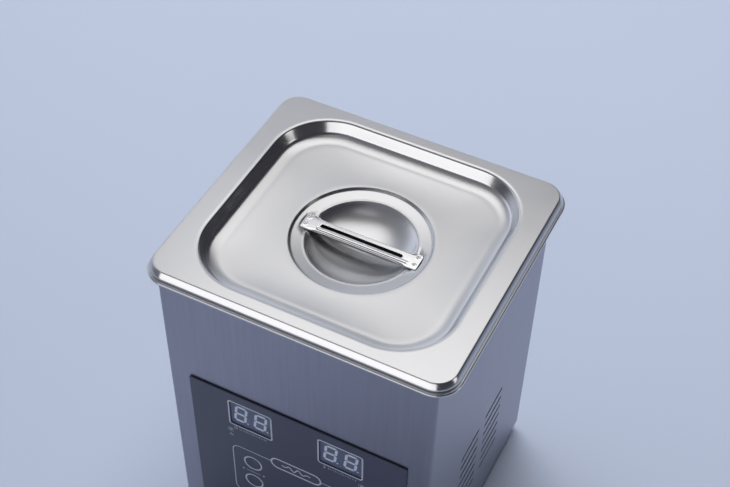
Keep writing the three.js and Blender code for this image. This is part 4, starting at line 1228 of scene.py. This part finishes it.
# The wave is a sine whose height fades with distance from the middle.
x = np.linspace(-9.0, 9.0, 90)
wave = np.column_stack([LAYOUT_X + x, frame_top + 1.75 * np.sin(x * 1.05) * np.exp(-((x / 6.6) ** 2))])
print_piece("print_frame", [
    ribbon(frame_path, 0.56), ribbon(pill_path, 1.10, True), ribbon(wave, 0.80),
])
print_piece("print_key_rings", [
    ribbon(ring_path(x, z, RING_RADIUS, steps=72), 1.0, True) for x, z in KEYS.values()
])
print_piece("print_window_lines", [
    ribbon(window_shape(side, 0.05, 1.5, 8)(0) / MM, 0.95, True) for side in (-1, 1)
])

# %% Signs under the displays, the lamps and the keys
def clock(x, z, r):
    """A ring with two hands."""
    hands = [(x, z + r * 0.62), (x, z), (x + r * 0.5, z - r * 0.25)]
    return [ribbon(ring_path(x, z, r), 0.22, True), ribbon(hands, 0.2)]


def thermometer(x, z, h):
    """A bulb at the bottom, open at the top where it runs into a narrow stem with a round end."""
    bulb = ring_path(x, z - h * 0.32, 0.50, 120, 420, 20)
    stem = np.concatenate([bulb, ring_path(x, z + h * 0.42, 0.27, 0, 180, 10)])
    return [ribbon(stem, 0.17, True), blot(ring_path(x, z - h * 0.32, 0.26, steps=16))]


def triangle(x, z, size, up):
    """A filled triangle that points up or down."""
    turn = 90 if up else -90
    return [blot(ring_path(x, z, size, turn, turn + 359.9, 4)[:3])]


def dashes(x, z, width, count):
    """A row of short strokes, like the marks of a scale, the middle one taller."""
    marks = []
    for k, at in enumerate(np.linspace(-width / 2, width / 2, count)):
        tall = 0.85 if k % 4 == 0 else 0.45
        marks.append(ribbon([(x + at, z - tall), (x + at, z + tall)], 0.24))
    return marks


SCALE_Z = 107.5
time_x, heat_x = LAYOUT_X - WINDOW_X, LAYOUT_X + WINDOW_X
signs = clock(time_x - 9.6, SCALE_Z, 1.05) + dashes(time_x + 1.2, SCALE_Z, 16.6, 17)
signs += thermometer(heat_x - 9.6, SCALE_Z, 2.2) + dashes(heat_x + 1.2, SCALE_Z, 16.6, 17)
for x in (LAYOUT_X - KEY_X, LAYOUT_X + KEY_X):
    signs += triangle(x - 6.6, 70.0, 0.95, True) + triangle(x + 6.6, 70.2, 0.95, False)
    signs += [ribbon([(x - 4.6, 70.05), (x + 4.6, 70.05)], 0.3)]
for side in (-1, 1):
    x = LAYOUT_X + side * LAMP_X
    signs += [ribbon(ring_path(x, LAMP_Z, 1.75, steps=40), 0.16, True)]
    signs += [ribbon(ring_path(x, 99.4, 1.0, 125, 415, 24), 0.24), ribbon([(x, 99.4), (x, 100.7)], 0.24)]
x, z = KEYS["key_power"]
signs += [ribbon(ring_path(x, z - 8.6, 1.4, 125, 415, 30), 0.32), ribbon([(x, z - 8.4), (x, z - 6.8)], 0.32)]
x, z = KEYS["key_start"]
signs += [blot(ring_path(x + 0.2, z - 8.4, 1.7, 0, 359.9, 4)[:3])]
print_piece("print_signs", signs)

# %% [markdown]
# ## Displays
# Behind each window sits a two-digit module. Each digit is made of seven slanted bars and a point,
# lit a cool white on a blue-grey plate. A clear film in front dims them a little and shines.

# %% Seven bars for a digit
DIGIT = {"wide": 6.3, "high": 12.2, "bar": 1.60, "slant": 0.115, "gap": 0.16}


def bar(a, b):
    """A six-cornered bar between two ends: straight sides and pointed ends."""
    a, b = np.array(a, float), np.array(b, float)
    along = (b - a) / np.linalg.norm(b - a)
    side = np.array([-along[1], along[0]]) * DIGIT["bar"] / 2
    a, b = a + along * DIGIT["gap"], b - along * DIGIT["gap"]
    point = along * DIGIT["bar"] / 2
    return np.array([a, a + point - side, b - point - side, b, b - point + side, a + point + side])


def digit(x, z):
    """The outlines of an eight with its point, leaning to the right, round a middle."""
    w, h = DIGIT["wide"] / 2, DIGIT["high"] / 2
    ends = [((-w, h), (w, h)), ((-w, 0), (w, 0)), ((-w, -h), (w, -h)),
            ((-w, 0), (-w, h)), ((w, 0), (w, h)), ((-w, -h), (-w, 0)), ((w, -h), (w, 0))]
    shapes = [bar(a, b) for a, b in ends]
    shapes.append(ring_path(w + 1.75, -h, 0.62, steps=16))
    return [np.column_stack([x + s[:, 0] + s[:, 1] * DIGIT["slant"], z + s[:, 1]]) for s in shapes]


MODULE_FACE = PANEL_FACE + 0.90 * MM
DIGIT_PLACES = (-6.3, 6.0)
for side, name in ((-1, "time"), (1, "heat")):
    x = LAYOUT_X + side * WINDOW_X
    parts = [blot(shape) for place in DIGIT_PLACES for shape in digit(x + place, WINDOW_Z + 0.3)]
    points, faces = gather(parts)
    points[:, 1] += MODULE_FACE - PANEL_FACE - 0.02 * MM
    bars = new_piece(f"digits_{name}", points, faces, "segment_white", "base")
    outward(bars)
    bars.data.set_sharp_from_angle(angle=math.radians(30))
    plate, faces = punched(window_shape(side, 0.25, 1.6), [], 0.2 * MM,
                           front_plate(MODULE_FACE), 0.05 * MM)
    backing = new_piece(f"display_plate_{name}", plate, faces, "display_face", "base")
    outward(backing)
    keep_flats_flat(backing)
    pane, faces = punched(window_shape(side, 0.15, 1.6), [], 0.8 * MM,
                          front_plate(PANEL_FACE + 0.01 * MM), 0.08 * MM)
    window = new_piece(f"window_{name}", pane, faces, "window_film", "base",
                       [f"display_window_{name}"])
    outward(window)
    keep_flats_flat(window)

# %% [markdown]
# ## Keys and lamps
# Each key is a dark cap, slightly hollow in the middle so that a fingertip finds it. Its profile is
# turned about an axis that points out of the panel.

# %% Turn the key caps
def turned_along_y(profile, x, z, steps=48):
    """A profile of (radius, y) points in millimetres, turned about a line along Y. Both ends close."""
    profile = np.asarray(profile, float) * MM
    angle = np.linspace(0, 2 * math.pi, steps, endpoint=False)
    r, y = profile[:, :1], profile[:, 1:]
    points = np.stack([x * MM + r * np.cos(angle), y + 0 * angle, z * MM + r * np.sin(angle)], -1)
    ends = [[x * MM, profile[0, 1], z * MM], [x * MM, profile[-1, 1], z * MM]]
    faces = grid_faces(len(profile), steps).tolist()
    for pole, row in ((0, 0), (1, len(profile) - 1)):
        faces += fan(row, steps, len(profile) * steps + pole)
    return np.concatenate([points.reshape(-1, 3), ends]), faces


def key_profile():
    """Radius and y of a cap: a hollow face, a rounded edge, the collar behind the panel, the stem."""
    face = PANEL_FACE / MM
    radius = np.linspace(0.15, 4.2, 14)
    hollow = np.column_stack([radius, face + 0.12 - 0.34 * (radius / 4.2) ** 2])
    edge = [(4.45, face - 0.20), (4.68, face - 0.10), (4.82, face + 0.06), (4.86, face + 0.25)]
    collar = [(4.86, face + 1.08), (6.3, face + 1.12), (6.3, face + 1.75)]
    stem = [(2.0, face + 1.8), (2.0, face + 3.2)]
    return np.concatenate([hollow, edge, collar, stem])


for name, (x, z) in KEYS.items():
    points, faces = turned_along_y(key_profile(), x, z, 64)
    cap = new_piece(f"{name}_cap", points, faces, "key_film", name, [name])
    outward(cap)
    cap.data.set_sharp_from_angle(angle=math.radians(45))

for side, name in ((-1, "time"), (1, "heat")):
    face = PANEL_FACE / MM
    dome = [(0.1, face - 0.16), (0.5, face - 0.13), (0.9, face - 0.03), (1.12, face + 0.12)]
    dome += [(1.15, face + 0.9), (1.6, face + 1.1), (1.6, face + 5.0)]
    points, faces = turned_along_y(dome, LAYOUT_X + side * LAMP_X, LAMP_Z, 32)
    lamp = new_piece(f"lamp_{name}", points, faces, "lamp_lens", "base", [f"indicator_{name}"])
    outward(lamp)

# %% [markdown]
# ## The rear
# The rear cover is one more punched sheet, with a grille of round holes over the fan, an inlet and
# a rocker switch. The moulded parts keep their CAD shapes. Real mouldings have no knife edges, so
# a copy of each is cleaned up and its edges are rounded by a fraction of a millimetre.

# %% Punch the rear cover
FAN_X, FAN_Z, GRILLE_HOLE = -32.0, 72.0, 2.9 * MM
holes = [
    rectangle(40 * MM, 40 * MM, 13.8 * MM, 10.1 * MM, 0.6 * MM),
    rectangle(40 * MM, 82 * MM, 9.8 * MM, 6.7 * MM, 0.4 * MM),
    round_hole(FAN_X * MM, FAN_Z * MM, GRILLE_HOLE),
]
for count, radius in ((6, 8), (12, 16)):
    for k in range(count):
        angle = 2 * math.pi * k / count
        holes.append(round_hole((FAN_X + radius * math.cos(angle)) * MM,
                                (FAN_Z + radius * math.sin(angle)) * MM, GRILLE_HOLE))
SCREWS = {
    "low_left": (-62.5, 20.5), "low_right": (62.5, 20.5),
    "high_right": (62.5, 112.5), "high_left": (-62.5, 112.5),
}
holes += [round_hole(x * MM, z * MM, 1.8 * MM, 24) for x, z in SCREWS.values()]
points, faces = punched(rectangle(0, 66.5 * MM, 66 * MM, 49.5 * MM, 3 * MM, 10), holes, 1.0 * MM,
                        rear_plate(75.3 * MM), 0.15 * MM)
cover = new_piece("rear_sheet", points, faces, "housing_steel", "base", ["rear_cover"])
outward(cover)
keep_flats_flat(cover)

# %% Screws with a cross recess
def screw_head(x, z, y_face, name, node):
    """A pan head: a domed profile round an axis along Y, pressed in along a cross."""
    dome = [(0.12, 0.80), (0.5, 0.79), (0.9, 0.77), (1.3, 0.72), (1.7, 0.64), (2.1, 0.50)]
    side = [(2.5, 0.30), (2.75, 0.05), (2.8, -0.3), (2.75, -0.72)]
    profile = [*dome, *side, (1.5, -0.75), (1.5, -5.4)]
    points, faces = turned_along_y([(r, y_face + y) for r, y in profile], x, z, 72)
    dx, dz = np.abs(points[:, 0] - x * MM) / MM, np.abs(points[:, 2] - z * MM) / MM
    cross = (1 - smooth(0.22, 0.40, np.minimum(dx, dz))) * (1 - smooth(1.4, 1.7, np.maximum(dx, dz)))
    outer = points[:, 1] > (y_face + 0.4) * MM
    points[:, 1] -= np.where(outer, 0.55 * MM * cross, 0)
    piece = new_piece(name, points, faces, "zinc_steel", "base", [node])
    outward(piece)
    piece.data.set_sharp_from_angle(angle=math.radians(50))


for place, (x, z) in SCREWS.items():
    screw_head(x, z, 76.3, f"rear_screw_{place}", f"cover_screw_{place}")

# %% Round the edges of the moulded and machined parts
def softened(node, radius, finish, body, name):
    """A cleaned copy of a CAD node whose sharp edges are rounded by a radius."""
    source = frame["nodes"][node]
    mesh = source.data.copy()
    mesh.materials.clear()
    mesh.materials.append(finishes[finish])
    shape = bmesh.new()
    shape.from_mesh(mesh)
    bmesh.ops.remove_doubles(shape, verts=shape.verts, dist=1e-6)
    bmesh.ops.dissolve_limit(shape, angle_limit=math.radians(1), verts=shape.verts, edges=shape.edges)
    shape.to_mesh(mesh)
    shape.free()
    mesh.polygons.foreach_set("use_smooth", np.ones(len(mesh.polygons), bool))
    piece = bpy.data.objects.new(name, mesh)
    bpy.context.scene.collection.objects.link(piece)
    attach(piece, body)
    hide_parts(node)
    rounding = piece.modifiers.new("rounding", "BEVEL")
    rounding.width = radius
    rounding.segments = 3
    rounding.limit_method = "ANGLE"
    rounding.angle_limit = math.radians(40)
    rounding.harden_normals = True
    return piece


softened("power_inlet", 0.35 * MM, "black_plastic", "base", "inlet_moulding")
softened("rocker_frame", 0.30 * MM, "black_plastic", "base", "switch_frame")
softened("rocker", 0.25 * MM, "black_plastic", "rocker", "switch_rocker")
softened("fan_frame", 0.25 * MM, "black_plastic", "base", "fan_moulding")

# %% [markdown]
# ## Feet
# Four tapered rubber feet are turned shapes, each with a hollow that hides its screw.

# %% Turn the feet
def turned_along_z(profile, x, y, steps=48):
    """A closed loop of (radius, z) points in millimetres, turned about an upright line."""
    profile = np.asarray(profile, float) * MM
    angle = np.linspace(0, 2 * math.pi, steps, endpoint=False)
    r, z = profile[:, :1], profile[:, 1:]
    points = np.stack([x * MM + r * np.cos(angle), y * MM + r * np.sin(angle), z + 0 * angle], -1)
    return points.reshape(-1, 3), grid_faces(len(profile), steps, loop_rows=True).tolist()


foot_loop = np.concatenate([
    [(2.2, 3.0), (4.9, 3.0)], arc(5.0, 2.6, 0.4, 90, 0, 3), [(5.4, 0.5)], arc(5.8, 0.4, 0.4, 180, 270, 4),
    [(7.2, 0.0)], arc(7.2, 0.9, 0.9, 270, 350, 5), [(8.6, 4.6)], arc(8.2, 6.2, 0.8, 0, 90, 4), [(2.2, 7.0)],
])
for place, (x, y) in {"front_left": (-64, -58), "front_right": (64, -58),
                      "rear_right": (64, 58), "rear_left": (-64, 58)}.items():
    points, faces = turned_along_z(foot_loop, x, y)
    foot = new_piece(f"rubber_foot_{place}", points, faces, "foot_rubber", "base", [f"foot_{place}"])
    outward(foot)
    foot.data.set_sharp_from_angle(angle=math.radians(50))

# %% [markdown]
# ## Everything inside
# The transducer stack, heaters, boards and leads hide inside the housing. Their CAD shapes are
# right, so they stay and only take the finish that has the name of their slot.

# %% Give the CAD parts their finishes
for part in frame["record"]["subparts"]:
    node = frame["nodes"][part["node"]]
    node.data.materials.clear()
    node.data.materials.append(finishes[part["material_slot"]])
